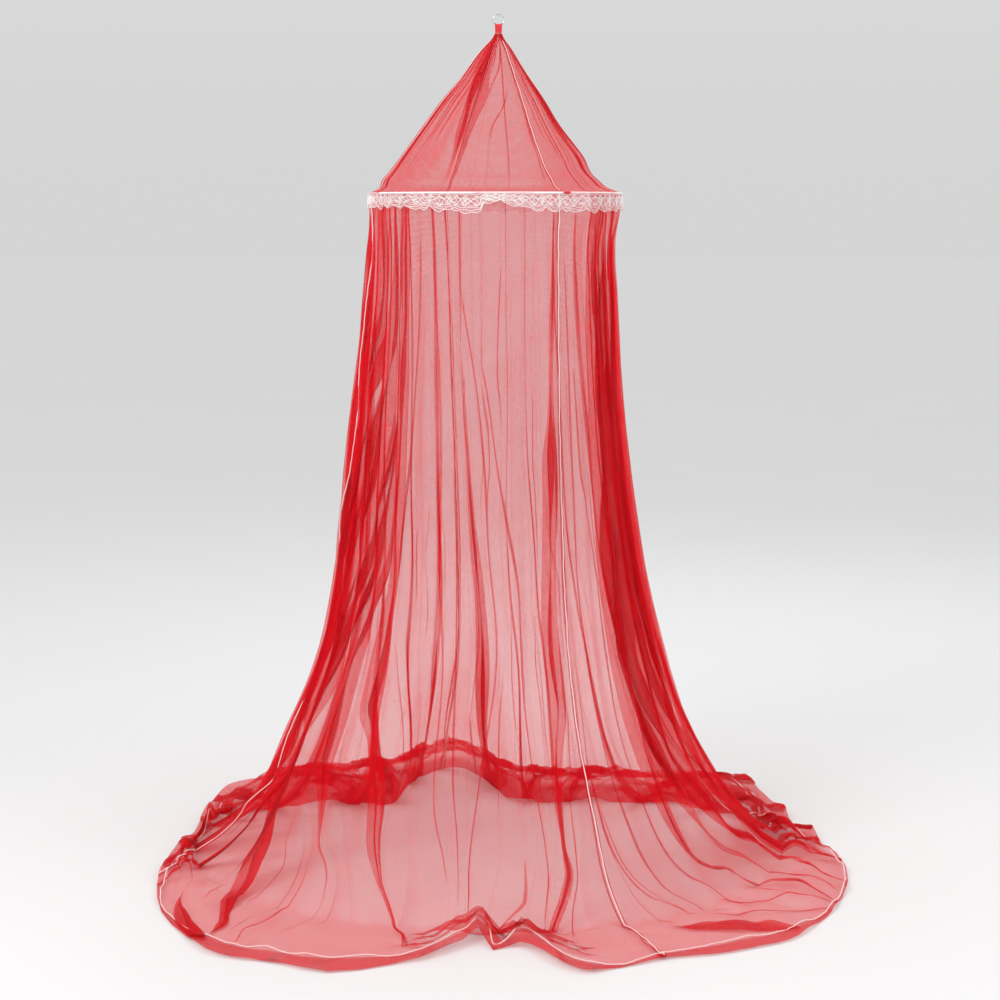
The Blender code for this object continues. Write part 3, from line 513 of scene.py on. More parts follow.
def skirt_points(azimuths, place, lift):
    """Points of the skirt: place runs from 0 at the hoop to 1 on landing, 2 at the sewn line, 3 at the
    frill's edge and 4 back under the line. Lift is how far each point lies above the mean surface."""
    height = HOOP_HEIGHT * max(1 - place, 0)
    drop = HOOP_HEIGHT - height
    bow = MM * round_curve(azimuths, *zip(*LANDINGS)) * smooth_step(-height, -LANDING_HEIGHT, 0.0)
    radius = level_radius(SKIRT_LEVELS, height, azimuths) + bow
    free = smooth_step(drop, FOLDS_BEGIN, FOLDS_FULL)
    rumple = RUMPLE * (SWAY.at(azimuths, place) + RIPPLE_SHARE * RIPPLE.at(azimuths, place))
    out = fold_out(SKIRT_FOLDS, azimuths, drop / HOOP_HEIGHT) * free
    out = out + rumple * free * min(place + RUMPLE_AT_HOOP, 1)
    if place <= 1:
        lying = smooth_step(-height, -LYING_HEIGHT, 0.0)
        radius = radius + (out + lift) * (1 - lying)
        rise = np.clip(out * lying, 0, None) + lift * lying
        return round_points(azimuths, radius, height + NET / 2 + rise, HOOP_SHIFT_X)
    laid, beyond, share = min(place - 1, 1), beyond_line(place), along_floor(place)
    around, *widths = zip(*HEM)
    line, frill, heap = (MM * round_curve(azimuths, around, width) for width in widths)
    around, *moves = zip(*DENT)
    dent_out, dent_up = (MM * steady_curve(signed(azimuths), around, move) for move in moves)
    rolled = np.clip(round_curve(azimuths, *zip(*ROLLED)), 0, 1)
    window = 4 * laid * (1 - laid)
    turn = math.tau * ROLL_TURNS * laid + ROLL_STRAY * CRUMPLE.at(azimuths, laid)
    swing = rolled * ROLL_SWING * window * np.sin(turn)
    line = line + dent_out + LINE_STRAY * rolled * FRILL_WAVE.at(azimuths, 1.5)
    frill_out = frill * (1 + FRILL_STRAY * FRILL_WAVE.at(azimuths, 0.0))
    radius = radius + (line - radius) * (laid + swing) + frill_out * beyond
    rise = heap * math.sin(math.pi * share * HEAP_REACH)
    rise = rise + np.clip(out, 0, None) * (1 - EDGE_CALM * share)
    rise = rise + rolled * ROLL_RISE * window * (1 + np.cos(turn))
    peak = PEAK_RISE * np.exp(-(((azimuths - PEAK_AZIMUTH) / PEAK_WIDTH) ** 2))
    rise = rise + dent_up * smooth_step(laid, 0.2, 1)
    rise = rise + peak * smooth_step(laid, 0.2, 0.8) * (1 - smooth_step(beyond, 0, 0.8))
    upper = 1.0 if place <= 3 else UNDERSIDE
    ruffle = RUFFLE[0] * frill + RUFFLE[1] * rolled + RUFFLE[2]
    rise = rise + upper * beyond * ruffle * (1 + FRILL_WAVE.at(azimuths, beyond * 0.5))
    rise = rise + FLOOR_RIPPLE * upper * (1 + RIPPLE.at(azimuths, min(place, 2)))
    lift = lift if place <= 3 else 0 * lift
    return round_points(azimuths, radius, NET / 2 + np.clip(rise, 0, None) + lift, HOOP_SHIFT_X)


def top_drop(place):
    return NECK_DROP + (TOP_FOOT_DROP - NECK_DROP) * place


def top_points(azimuths, place, lift):
    """Points of the top: place runs from 0 at the neck to 1 at the hoop."""
    free = smooth_step(place, *TOP_FOLDS_GROW) * (1 - smooth_step(place, *TOP_FOLDS_FADE))
    near = np.exp(-((signed(azimuths - SEAMS[0].hoop) / TOP_SEAM_REACH) ** 2))
    azimuths = azimuths + TOP_SEAM_STRAY * near * smooth_step(place, 0.75, 1.0)
    radius = level_radius(TOP_LEVELS, top_drop(place), azimuths)
    radius = radius + fold_out(TOP_FOLDS, azimuths, place) * free
    radius = radius + TOP_RUMPLE * SWAY.at(azimuths, place) * free + lift
    shift = HOOP_SHIFT_X * smooth_step(place, 0.0, 1.0)
    return round_points(azimuths, radius, FLOOR_DROP - top_drop(place), shift)


# ---------------- meshes
def mesh_of(name, points, faces, uvs=None):
    mesh = bpy.data.meshes.new(name)
    mesh.from_pydata(np.asarray(points, float).tolist(), [], faces)
    if uvs is not None:
        corners = np.empty(len(mesh.loops), np.int32)
        mesh.loops.foreach_get("vertex_index", corners)
        layer = mesh.uv_layers.new(name="UVMap")
        layer.data.foreach_set("uv", np.asarray(uvs, np.float32)[corners].reshape(-1))
    mesh.validate()
    return mesh


def new_object(name, mesh, material, replaced=None):
    obj = bpy.data.objects.new(name, mesh)
    bpy.context.scene.collection.objects.link(obj)
    mesh.materials.append(material)
    mesh.shade_smooth()
    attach(obj, "root")
    if replaced:
        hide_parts(replaced)
    return obj


def grid_faces(rows, columns, closed=False, looped=False):
    """The quads of a grid of points: closed joins its last column to its first, looped its last row."""
    faces = []
    for row in range(rows if looped else rows - 1):
        near, far = row * columns, (row + 1) % rows * columns
        for k in range(columns if closed else columns - 1):
            n = (k + 1) % columns
            faces.append((near + k, far + k, far + n, near + n))
    return faces


def turned(faces):
    """The same quads, facing the other way."""
    return [(a, d, c, b) for a, b, c, d in faces]


def cloth_uvs(rows):
    """Lengths along and down the cloth, in metres, so that the net's holes keep their size."""
    rows = np.array(rows)
    steps = np.linalg.norm(np.diff(rows, axis=1), axis=2)
    across = np.concatenate([np.zeros((len(rows), 1)), np.cumsum(steps, axis=1)], axis=1)
    across -= across[:, -1:] / 2
    falls = np.linalg.norm(np.diff(rows, axis=0), axis=2).mean(axis=1)
    down = np.concatenate([[0.0], np.cumsum(falls)])
    return np.stack([across, np.repeat(-down[:, None], rows.shape[1], axis=1)], axis=2).reshape(-1, 2)


class Pleat:
    """A pleat's course: its azimuth and width at any level."""

    def __init__(self, rows, wavy=WAVY):
        self.levels, self.azimuths, self.widths = np.array(sorted(rows), float).T
        self.levels = self.length(self.levels)
        self.wavy = wavy
        self.across, self.layers = np.array(CREASE if self.widths.max() < CREASE_WIDTH else PLEAT)
        self.own = float(self.azimuths.mean())  # picks a place of its own in the noise

    def length(self, level):
        """A level as a length up the cloth: the floor's part is short."""
        return np.where(level < 0, np.multiply(level, FLOOR_LENGTH), level)

    def at(self, level):
        strayed = WANDER_BY * WANDER.at(self.own * 3, level)
        return float(steady_curve(self.length(level), self.levels, self.azimuths) + strayed)

    def wide(self, level):
        wide = MM * max(float(steady_curve(self.length(level), self.levels, self.widths)), 0.0)
        return wide * float(1 + self.wavy * WANDER.at(self.own * 5, level * 1.5))


def turned_in(panel, top=False):
    """Rows for the edges of a panel, turned in along its two seams."""
    levels = (1, 0) if top else (HOOP_HEIGHT, WAIST_HEIGHT, 0, -1)
    wide = TURNED_IN * (TOP_TURNED_IN if top else 1.0)
    edges = []
    for seam, less in ((SEAMS[panel - 1], 360 if panel == 0 else 0), (SEAMS[panel], 0)):
        course = [seam.hoop] * 2 if top else seam[1:]
        edges.append([(level, azimuth - less, wide) for level, azimuth in zip(levels, course)])
    return edges


def doubled(rows, radius_at):
    """The two pleats that lie half over each other in the place of a dense one."""
    for side in (-1, 1):
        moved = []
        for level, azimuth, width in rows:
            whole = math.degrees(MM * width / radius_at(level, azimuth))
            moved.append((level, azimuth + side * DENSE_SPREAD * whole, width * DENSE_SHARE))
        yield Pleat(moved)


def add_fine_crease(pleats, random):
    """A short crease at a chance height, in a gap chosen by its width."""
    middle, reach = random.uniform(*FINE_MIDDLE), random.uniform(*FINE_REACH)
    gaps = np.array([max(b.at(middle) - a.at(middle) - FINE_GAP, 0) for a, b in zip(pleats, pleats[1:])])
    k = int(random.choice(len(gaps), p=gaps / gaps.sum()))
    share = random.uniform(*FINE_SHARE)
    wide = random.uniform(*FINE_WIDTH)
    above = np.arange(1.6, middle + reach, -FINE_STEP)
    below = np.arange(-1, middle - reach, FINE_STEP)
    rows = []
    for level in (*above, *(middle + reach * np.linspace(1, -1, 6)), *below):
        low, high = pleats[k].at(level), pleats[k + 1].at(level)
        size = max(1 - abs(level - middle) / reach, 0) ** 0.5
        rows.append((level, low + (high - low) * (share + FINE_STRAY * random.uniform(-1, 1)), wide * size))
    pleats.insert(k + 1, Pleat(rows))


def pleats_of(table, edges, radius_at, fine=0, seed=0, single=()):
    """A panel's pleats in order, the dense ones doubled, with its fine creases between them."""
    pleats = [Pleat(edges[0])]
    for place, rows in enumerate(table):
        if place in single:
            pleats.append(Pleat(rows, WAVY_SINGLE))
        elif max(width for _, _, width in rows) <= DENSE:
            pleats.append(Pleat(rows))
        else:
            pleats.extend(doubled(rows, radius_at))
    pleats.append(Pleat(edges[1]))
    random = np.random.default_rng(seed)
    for _ in range(fine):
        add_fine_crease(pleats, random)
    return pleats


def flat_counts(pleats, start, end, flat_step):
    """How many columns lie between one pleat and the next."""
    stops = [start, *[pleat.own for pleat in pleats], end]
    counts = []
    for a, b in zip(stops, stops[1:]):
        in_dent = DENT[0][0] < (a + b) / 2 < DENT[-1][0]
        counts.append(max(2, round(abs(b - a) / (DENT_STEP if in_dent else flat_step))))
    return counts


def pleated_row(pleats, level, start, end, radius_at, flats):
    """The azimuths and lifts of a row's points across a panel: flat cloth and pleats in turn."""
    middles = np.array([pleat.at(level) for pleat in pleats])
    radius = radius_at(level, middles)
    wides = np.array([pleat.wide(level) for pleat in pleats])
    halves = np.degrees(np.maximum(wides, NARROWEST) / 2 / radius)
    for k in range(1, len(pleats)):
        middles[k] = max(middles[k], middles[k - 1] + LEAST_STEP)
    middles = np.minimum(np.maximum(middles, start + halves * 1.05), end - halves * 1.05)
    gaps = np.diff(middles) - halves[1:] - halves[:-1]
    crossed = np.maximum(np.append(-gaps, 0), np.insert(-gaps, 0, 0))
    bases = (np.arange(len(pleats)) % 3) * 2 * smooth_step(np.radians(crossed) * radius, 0, CROSSED)
    azimuths, lifts = [], []
    edge, edge_lift = start, 0.0
    for k, (pleat, flat) in enumerate(zip(pleats, flats)):
        folded = smooth_step(wides[k], 0.0, FULL_PLEAT)
        straight = np.linspace(-1, 1, len(pleat.layers))
        bend = 1 - min(BEND / math.radians(halves[k]) / radius[k], WIDEST_BEND)
        across = np.where(np.abs(pleat.across) == 0.9, np.sign(pleat.across) * bend, pleat.across)
        across = across * folded + straight * (1 - folded)
        layers = pleat.layers if k % 2 else 2 - pleat.layers
        lift = LAYER * (layers * folded + bases[k])
        step = middles[k] - halves[k] - edge
        low = smooth_step(math.radians(step) * radius[k], *HOLLOW)
        t = np.arange(flat) / flat
        between = edge_lift + (lift[0] - edge_lift) * smooth_step(t, 0, 1)
        azimuths.extend(edge + step * t)
        lifts.extend(between * (1 - low * 16 * (t * (1 - t)) ** 2))
        azimuths.extend(middles[k] + halves[k] * across)
        lifts.extend(lift)
        edge, edge_lift = middles[k] + halves[k], lift[-1]
    t = np.arange(1, flats[-1] + 1) / flats[-1]
    azimuths.extend(edge + (end - edge) * t)
    lifts.extend(edge_lift * (1 - smooth_step(t, 0, 0.8)))
    return np.array(azimuths, float), np.array(lifts, float)


def skirt_level(place):
    return HOOP_HEIGHT * (1 - place) if place <= 1 else -along_floor(place)


def skirt_radius(level, azimuth):
    radius = level_radius(SKIRT_LEVELS, max(level, 0.0), np.asarray(azimuth, float))
    return radius + FLOOR_LENGTH * max(-level, 0.0)


def top_radius(level, azimuth):
    return level_radius(TOP_LEVELS, top_drop(1 - level), np.asarray(azimuth, float))


def cloth_panel(name, replaced, rows, material):
    mesh = mesh_of(name, np.concatenate(rows), grid_faces(len(rows), len(rows[0])), cloth_uvs(rows))
    return new_object(name, mesh, material, replaced)


def skirt_panel(panel, material):
    name = SEAMS[panel].ends_panel
    edges = turned_in(panel)
    pleats = pleats_of(SKIRT_PLEATS[name], edges, skirt_radius, FINE_CREASES[name], 17 + panel, SINGLE[name])
    places = [*np.linspace(0, 1, HANGING_ROWS, endpoint=False)]
    places += [*np.linspace(1, 2, FLOOR_ROWS, endpoint=False), *np.linspace(2, 4, 2 * FRILL_ROWS + 1)]
    flats, rows = None, []
    for place in places:
        level = skirt_level(place)
        start, end = panel_ends(panel, max(level, 0.0), along_floor(place))
        flats = flats or flat_counts(pleats, start, end, FLAT_STEP[name])
        azimuths, lifts = pleated_row(pleats, level, start, end, skirt_radius, flats)
        lifts = lifts * (0.1 + 0.9 * smooth_step(place, 0.004, 0.045))
        rows.append(skirt_points(azimuths, place, lifts))
    return cloth_panel("skirt_" + name, "skirt_panel_" + name, rows, material)


def top_panel(panel, material):
    name = SEAMS[panel].ends_panel
    pleats = pleats_of(TOP_PLEATS[name], turned_in(panel, True), top_radius)
    start, end = SEAMS[panel - 1].hoop - (360 if panel == 0 else 0), SEAMS[panel].hoop
    flats, rows = flat_counts(pleats, start, end, TOP_FLAT_STEP), []
    for place in np.linspace(0, 1, TOP_ROWS + 1) ** ROWS_CROWD:
        azimuths, lifts = pleated_row(pleats, 1 - place, start, end, top_radius, flats)
        lifts = TOP_LIFT * lifts * (0.35 + 0.65 * smooth_step(place, 0, 0.3))
        rows.append(top_points(azimuths, place, lifts * (1 - smooth_step(place, 0.9, 1.0))))
    return cloth_panel("top_" + name, "top_panel_" + name, rows, material)


def tube_parts(points, radius, sides, closed=False):
    """Points, faces and UVs of a round cord along a line, with its ends closed."""
    points = np.asarray(points, float)
    count = len(points)
    if closed:
        tangents = np.roll(points, -1, axis=0) - np.roll(points, 1, axis=0)
    else:
        tangents = np.gradient(points, axis=0)
    tangents /= np.linalg.norm(tangents, axis=1)[:, None]
    normal = np.cross(tangents[0], [0.0, 0.0, 1.0])
    if np.linalg.norm(normal) < 0.05:
        normal = np.cross(tangents[0], [0.0, 1.0, 0.0])
    verts, uvs = [], []
    travelled = 0.0
    turns = np.arange(sides) * math.tau / sides
    radii = np.broadcast_to(np.asarray(radius, float), (count,))
    for k in range(count):
        normal = normal - tangents[k] * (normal @ tangents[k])
        normal /= np.linalg.norm(normal)
        side = np.cross(tangents[k], normal)
        if k:
            travelled += np.linalg.norm(points[k] - points[k - 1])
        around = np.outer(np.cos(turns), normal) + np.outer(np.sin(turns), side)
        verts.append(points[k] + radii[k] * around)
        uvs.append(np.column_stack([np.arange(sides) / sides, np.full(sides, travelled)]))
    faces = turned(grid_faces(count, sides, True, closed))
    if not closed:
        faces.append(tuple(range(sides - 1, -1, -1)))
        faces.append(tuple((count - 1) * sides + s for s in range(sides)))
    return np.concatenate(verts), faces, np.concatenate(uvs)


def joined(name, parts):
    """One mesh from several (points, faces, uvs)."""
    points, faces, uvs, count = [], [], [], 0
    for part_points, part_faces, part_uvs in parts:
        points.append(part_points)
        uvs.append(part_uvs)
        faces.extend([tuple(k + count for k in face) for face in part_faces])
        count += len(part_points)
    return mesh_of(name, np.concatenate(points), faces, np.concatenate(uvs))


def uneven(points, seed, size):
    """A sewn line's points, strayed a little to every side."""
    random = np.random.default_rng(seed)
    steps = np.arange(len(points))[:, None]
    for length in (5, 11, 23):
        phase, share = random.uniform(0, math.tau, 3), random.uniform(0.5, 1, 3)
        points = points + size * share * np.sin(steps * math.tau / length + phase)
    return points


def seam_cord(panel, material):
    """The rolled seam at the end of a skirt panel, and up the top to the neck."""
    name = SEAMS[panel].ends_panel
    more = LEFT_SEAM_LIFT - SEAM_LIFT if name == "left" else 0.0
    hoop_end, parts = np.array([float(SEAMS[panel].hoop)]), []
    sides = ((0, SEAM_LIFT, SEAM_RADIUS), (8, SEAM_INSIDE, INSIDE_RADIUS))
    for seed, lift, radius in sides[:2 if panel in SEEN_INSIDE else 1]:
        line = []
        for place in (*np.linspace(0.001, 1, 210, endpoint=False), *np.linspace(1, 2.9, 90)):
            azimuth = seam_azimuths(HOOP_HEIGHT * max(1 - place, 0), along_floor(place))[panel]
            hanging = smooth_step(place, 0.03, 0.09) * (1 - smooth_step(place, 0.88, 1.0))
            line.append(skirt_points(np.array([azimuth]), place, np.array([lift + more * hanging])))
        line = np.concatenate(line)
        line[:, 2] = np.maximum(line[:, 2], radius * 1.4 - FLOOR_DROP)
        parts.append(tube_parts(uneven(line, panel + seed, SEAM_STRAY), radius, 6))
        shares = np.linspace(0.05, 0.985, 80)
        line = np.concatenate([top_points(hoop_end, share, np.array([lift * 0.7])) for share in shares])
        line = uneven(line, panel + seed + 4, SEAM_STRAY * 0.5)
        parts.append(tube_parts(line, SEAM_RADIUS * TOP_SEAM_SHARE * smooth_step(shares, -0.1, 0.12), 6))
    return new_object("seam_" + name, joined("seam_" + name, parts), material)


def hoop_knot(material):
    """The bunched end of the net where the front-right seam meets the hoop."""
    azimuths = SEAMS[0].hoop + np.linspace(*KNOT_SPAN, KNOT_STEPS)
    bumps = np.sin(np.linspace(0, 1, KNOT_STEPS) * math.pi)
    bumps = bumps * (1 + 0.25 * np.sin(np.arange(KNOT_STEPS) * 1.9))
    height = FLOOR_DROP - HOOP_DROP + LACE_TOP * 0.6
    line = round_points(azimuths, TOP_OUTSIDE + LACE_FLARE + 0.003, height, HOOP_SHIFT_X)
    mesh = joined("hoop_knot", [tube_parts(line, KNOT_RADIUS[0] + KNOT_RADIUS[1] * bumps, 10)])
    return new_object("hoop_knot", mesh, material)


def hem_cord(panel, material):
    """The sewn line of a panel's hem, just inside its frill."""
    start, end = panel_ends(panel, 0.0, LINE_SHARE)
    azimuths = np.linspace(start, end, int((end - start) * 4))
    points = uneven(skirt_points(azimuths, 2.0, np.full_like(azimuths, HEM_LIFT)), panel + 8, SEAM_STRAY)
    name = "hem_" + SEAMS[panel].ends_panel
    return new_object(name, joined(name, [tube_parts(points, HEM_RADIUS, 6)]), material)


# ---------------- lace
LACE_TOP = 0.0020  # above the hoop
LACE_INSIDE = TOP_OUTSIDE + 0.0015
LACE_CLEAR = 0.0004  # between the lace and what it lies on
LACE_FLARE = 0.0008
LACE_LENGTH = 0.043
# How far the lace's edge hangs below the hoop, in mm by azimuth
LACE_EDGE = (
    (-150, 43), (-90, 36), (-50, 31), (-38, 34), (-27, 36), (-18, 40), (-11, 44.5), (-8, 47), (-6.6, 46),
    (-5.4, 25), (-4, 20.5), (0, 19.5), (4, 19), (7, 22.5), (10.5, 32), (14, 36.5), (22, 38), (36, 41),
    (50, 41), (90, 38), (150, 42),
)
LACE_REPEATS = 44
LACE_ROWS = 18
LACE_COLUMNS = 792
LACE_CORD = 0.00065
LACE_RAISED = 0.0006
LACE_WAVE = Waves(17, 8, 16, 40, 1.0)
LACE_DROOP = Waves(19, 8, 24, 52, 1.0)
LACE_SLANT = Waves(23, 7, 14, 36, 1.0)
LACE_CRUMPLE = Waves(29, 10, 30, 84, 9.0)
LACE_ACROSS = np.arange(LACE_COLUMNS) * 360 / LACE_COLUMNS
# Cords along the lace: share down it, how far it waves, waves to a repeat, where they start, radius in mm
LACE_CORDS = (
    (0.12, 0.01, 2, 0, 0.5), (0.42, 0.27, 1, 0, 0.8), (0.42, 0.27, 1, 0.5, 0.8), (0.42, 0.15, 2, 0.25, 0.5),
    (0.42, 0.15, 2, 0.75, 0.5), (0.3, 0.06, 3, 0.2, 0.5), (0.6, 0.08, 3, 0.6, 0.6),
    (0.66, 0.03, 4, 0.1, 0.5), (0.75, 0.035, 2, 0.5, 0.7), (0.86, 0.035, 2, 0.5, 0.7),
    (0.985, 0, 2, 0, 0.8),
)
CORD_STRAY = 0.022
# The tape at the lace's top: azimuths between which it shows broad and white
TAPE_SHOWS = ((-62, -9), (17, 33), (70, 130), (160, 230))
TAPE_RADIUS = (0.0005, 0.0018)


def lace_points(azimuths, share, lift=0.0):
    """Points of the gathered lace flounce: share runs from 0 at its top to 1 at its lower edge."""
    azimuths = np.asarray(azimuths, float)
    share = np.asarray(share, float) + np.zeros_like(azimuths)
    depth = MM * steady_curve(np.mod(azimuths + 150, 360) - 150, *zip(*LACE_EDGE))
    calm = 1 - 0.8 * np.exp(-((signed(azimuths) / 10) ** 2))
    depth = depth + 0.0034 * calm * LACE_DROOP.at(azimuths, 0.2)
    depth = depth + 0.0010 * np.cos(np.radians(azimuths) * 2 * LACE_REPEATS)
    wave = 0.0011 * (1.0 + LACE_WAVE.at(azimuths, 0.3))
    radius = LACE_INSIDE + LACE_FLARE * share + wave * share**0.7 + lift + LACE_CLEAR
    crumpled = share * (1 - 0.6 * share)
    height = HOOP_HEIGHT + LACE_TOP - share * (LACE_TOP + depth)
    height = height + 0.0042 * crumpled * LACE_CRUMPLE.at(azimuths, share)
    slant = 0.8 * LACE_SLANT.at(azimuths, 0.1) * share
    slant = slant + 1.1 * crumpled * LACE_CRUMPLE.at(azimuths + 90, share)
    return round_points(azimuths + slant, radius, height, HOOP_SHIFT_X)


def lace_ground(material):
    rows = [lace_points(LACE_ACROSS, share) for share in np.linspace(0, 1, LACE_ROWS)]
    uvs = []
    for row in range(LACE_ROWS):
        down = np.full(LACE_COLUMNS, -0.045 * row / LACE_ROWS)
        uvs.append(np.column_stack([np.radians(LACE_ACROSS) * 0.31, down]))
    faces = grid_faces(LACE_ROWS, LACE_COLUMNS, True)
    mesh = mesh_of("lace", np.concatenate(rows), faces, np.concatenate(uvs))
    return new_object("lace", mesh, material, "lace_trim")


def lace_shape(middle, share, outline):
    """Maps an outline, in units of a centimetre about its middle, onto the lace."""
    across, up = np.asarray(outline, float).T * 0.01
    return lace_points(middle + np.degrees(across / 0.311), share - up / LACE_LENGTH, LACE_RAISED)


def petal(turn, length, width, steps=8):
    t = np.arange(steps) * math.tau / steps
    x, y = length * (0.55 + 0.45 * np.cos(t)), width * np.sin(t)
    ahead, aside = math.cos(turn), math.sin(turn)
    return np.column_stack([x * ahead - y * aside, x * aside + y * ahead])


def oval(across, up, steps=14):
    t = np.arange(steps) * math.tau / steps
    return np.column_stack([across * np.cos(t), up * np.sin(t)])


def filled(points):
    """A raised patch of close stitching."""
    count = len(points)
    faces = [(k, (k + 1) % count, count) for k in range(count)]
    return np.vstack([points, points.mean(axis=0)]), faces, np.zeros((count + 1, 2))


def lace_motifs(material):
    """Small flowers and ovals between waving cords, raised on the lace's net ground."""
    parts = []
    pitch = 360 / LACE_REPEATS
    for k in range(LACE_REPEATS):
        middle = (k + 0.5) * pitch
        for n in range(5):
            parts.append(filled(lace_shape(middle, 0.42, petal(math.tau * n / 5 + 0.3, 0.36, 0.12))))
        parts.append(tube_parts(lace_shape(middle, 0.42, oval(0.50, 0.62)), LACE_CORD, 3, True))
        leaf = petal(math.pi / 2, 0.50, 0.11)
        parts.append(filled(lace_shape(middle + pitch / 2, 0.28, leaf)))
        parts.append(filled(lace_shape(middle + pitch / 2, 0.56, -leaf)))
    for place, wave, waves, start, radius in LACE_CORDS:
        turns = LACE_ACROSS / 360 * LACE_REPEATS * waves + start
        share = place + wave * (2 * np.abs(2 * (turns % 1) - 1) - 1)
        share = np.clip(share + CORD_STRAY * LACE_CRUMPLE.at(LACE_ACROSS, 7 * place + start), 0.02, 1)
        parts.append(tube_parts(lace_points(LACE_ACROSS, share, 0.0005), MM * radius, 4, True))
    around, shows = signed(LACE_ACROSS), 0
    for start, end in TAPE_SHOWS:
        past = smooth_step(around, end - 2, end + 2)
        shows = shows + smooth_step(around, start - 2, start + 2) * (1 - past)
    radius = TAPE_RADIUS[0] + (TAPE_RADIUS[1] - TAPE_RADIUS[0]) * np.clip(shows, 0, 1)
    parts.append(tube_parts(lace_points(LACE_ACROSS, 0.04, 0.0008), radius, 5, True))
    return new_object("lace_motifs", joined("lace_motifs", parts), material)


# ---------------- ring and loop
INSIDE = 0.99  # the ring's wire and the loop's width, as a share of their solids'
RING_STEPS = 72
WELD_AZIMUTH = 95
LOOP_COLUMNS = 25
CREASE_DEPTH = 0.00022


def hanging_ring(material):
    turns = np.arange(RING_STEPS) * math.tau / RING_STEPS
    across, up = RING_RADIUS * np.sin(turns), RING_RADIUS * np.cos(turns)
    line = np.column_stack([across, 0 * turns, up - (RING_RADIUS - RING_WIRE_RADIUS)])
    weld = np.exp(-(((np.degrees(turns) - WELD_AZIMUTH) / 5) ** 2))
    mesh = joined("ring", [tube_parts(line, RING_WIRE_RADIUS * (1 + 0.12 * weld) * INSIDE, 14, True)])
    return new_object("ring", mesh, material, "hanging_ring")


def loop_section(x, inner):
    """The loop's eye or outside in the Y-Z plane at x."""
    wire_drop = RING_RADIUS - RING_WIRE_RADIUS + math.sqrt(RING_RADIUS**2 - x**2)
    radius = LOOP_EYE_RADIUS + (0 if inner else LOOP_CLOTH)
    foot_y = LOOP_CLOTH * (0.4 if inner else 1.5)
    foot_z = -LOOP_FOOT_DROP + (LOOP_CLOTH * 2.5 if inner else 0)
    turns = np.linspace(0, math.pi, 13)
    points = [(radius * math.cos(turn), radius * math.sin(turn) - wire_drop) for turn in turns]
    sides = []
    for (y, z), end_y in ((points[-1], -foot_y), (points[0], foot_y)):
        down = np.linspace(0, 1, 11)[1:]
        sides.append([(y + (end_y - y) * smooth_step(d, 0, 1), z + (foot_z - z) * d) for d in down])
    return points + sides[0] + sides[1][::-1]


def hanging_loop(material):
    """The cloth loop over the ring's wire, a little drawn in and creased where it runs into the net."""
    sheets, uvs = [], []
    for inner in (False, True):
        for k in range(LOOP_COLUMNS):
            x = (k / (LOOP_COLUMNS - 1) - 0.5) * LOOP_WIDTH * INSIDE
            for y, z in loop_section(x, inner):
                down = smooth_step(-z, 0.030, LOOP_FOOT_DROP)
                crease = CREASE_DEPTH * math.sin(k * 1.35 + 0.4) * down * (1 if y > 0 else -1)
                sheets.append((x * (1 - 0.06 * down), y + crease, z))
                uvs.append((x, z + y))
    count = len(loop_section(0.0, False))
    inside, last = LOOP_COLUMNS * count, (LOOP_COLUMNS - 1) * count
    outer = grid_faces(LOOP_COLUMNS, count, True)
    faces = turned(outer) + [tuple(inside + k for k in face) for face in outer]
    for s in range(count):
        t = (s + 1) % count
        faces.append((s, inside + s, inside + t, t))
        faces.append((last + t, inside + last + t, inside + last + s, last + s))
    mesh = mesh_of("loop", sheets, faces, uvs)
    obj = new_object("loop", mesh, material, "hanging_loop")
    mesh.set_sharp_from_angle(angle=math.radians(50))
    return obj


# ---------------- materials
EDGE_ON = 0.48  # cosine below which a net closes up no further
LIT_THROUGH = 0.5  # share of a thread's light that comes through it
UNEVEN_NET = 0.10


def shaded(colour, by=1.0):
    return (*[min(part * by, 1) for part in colour], 1)


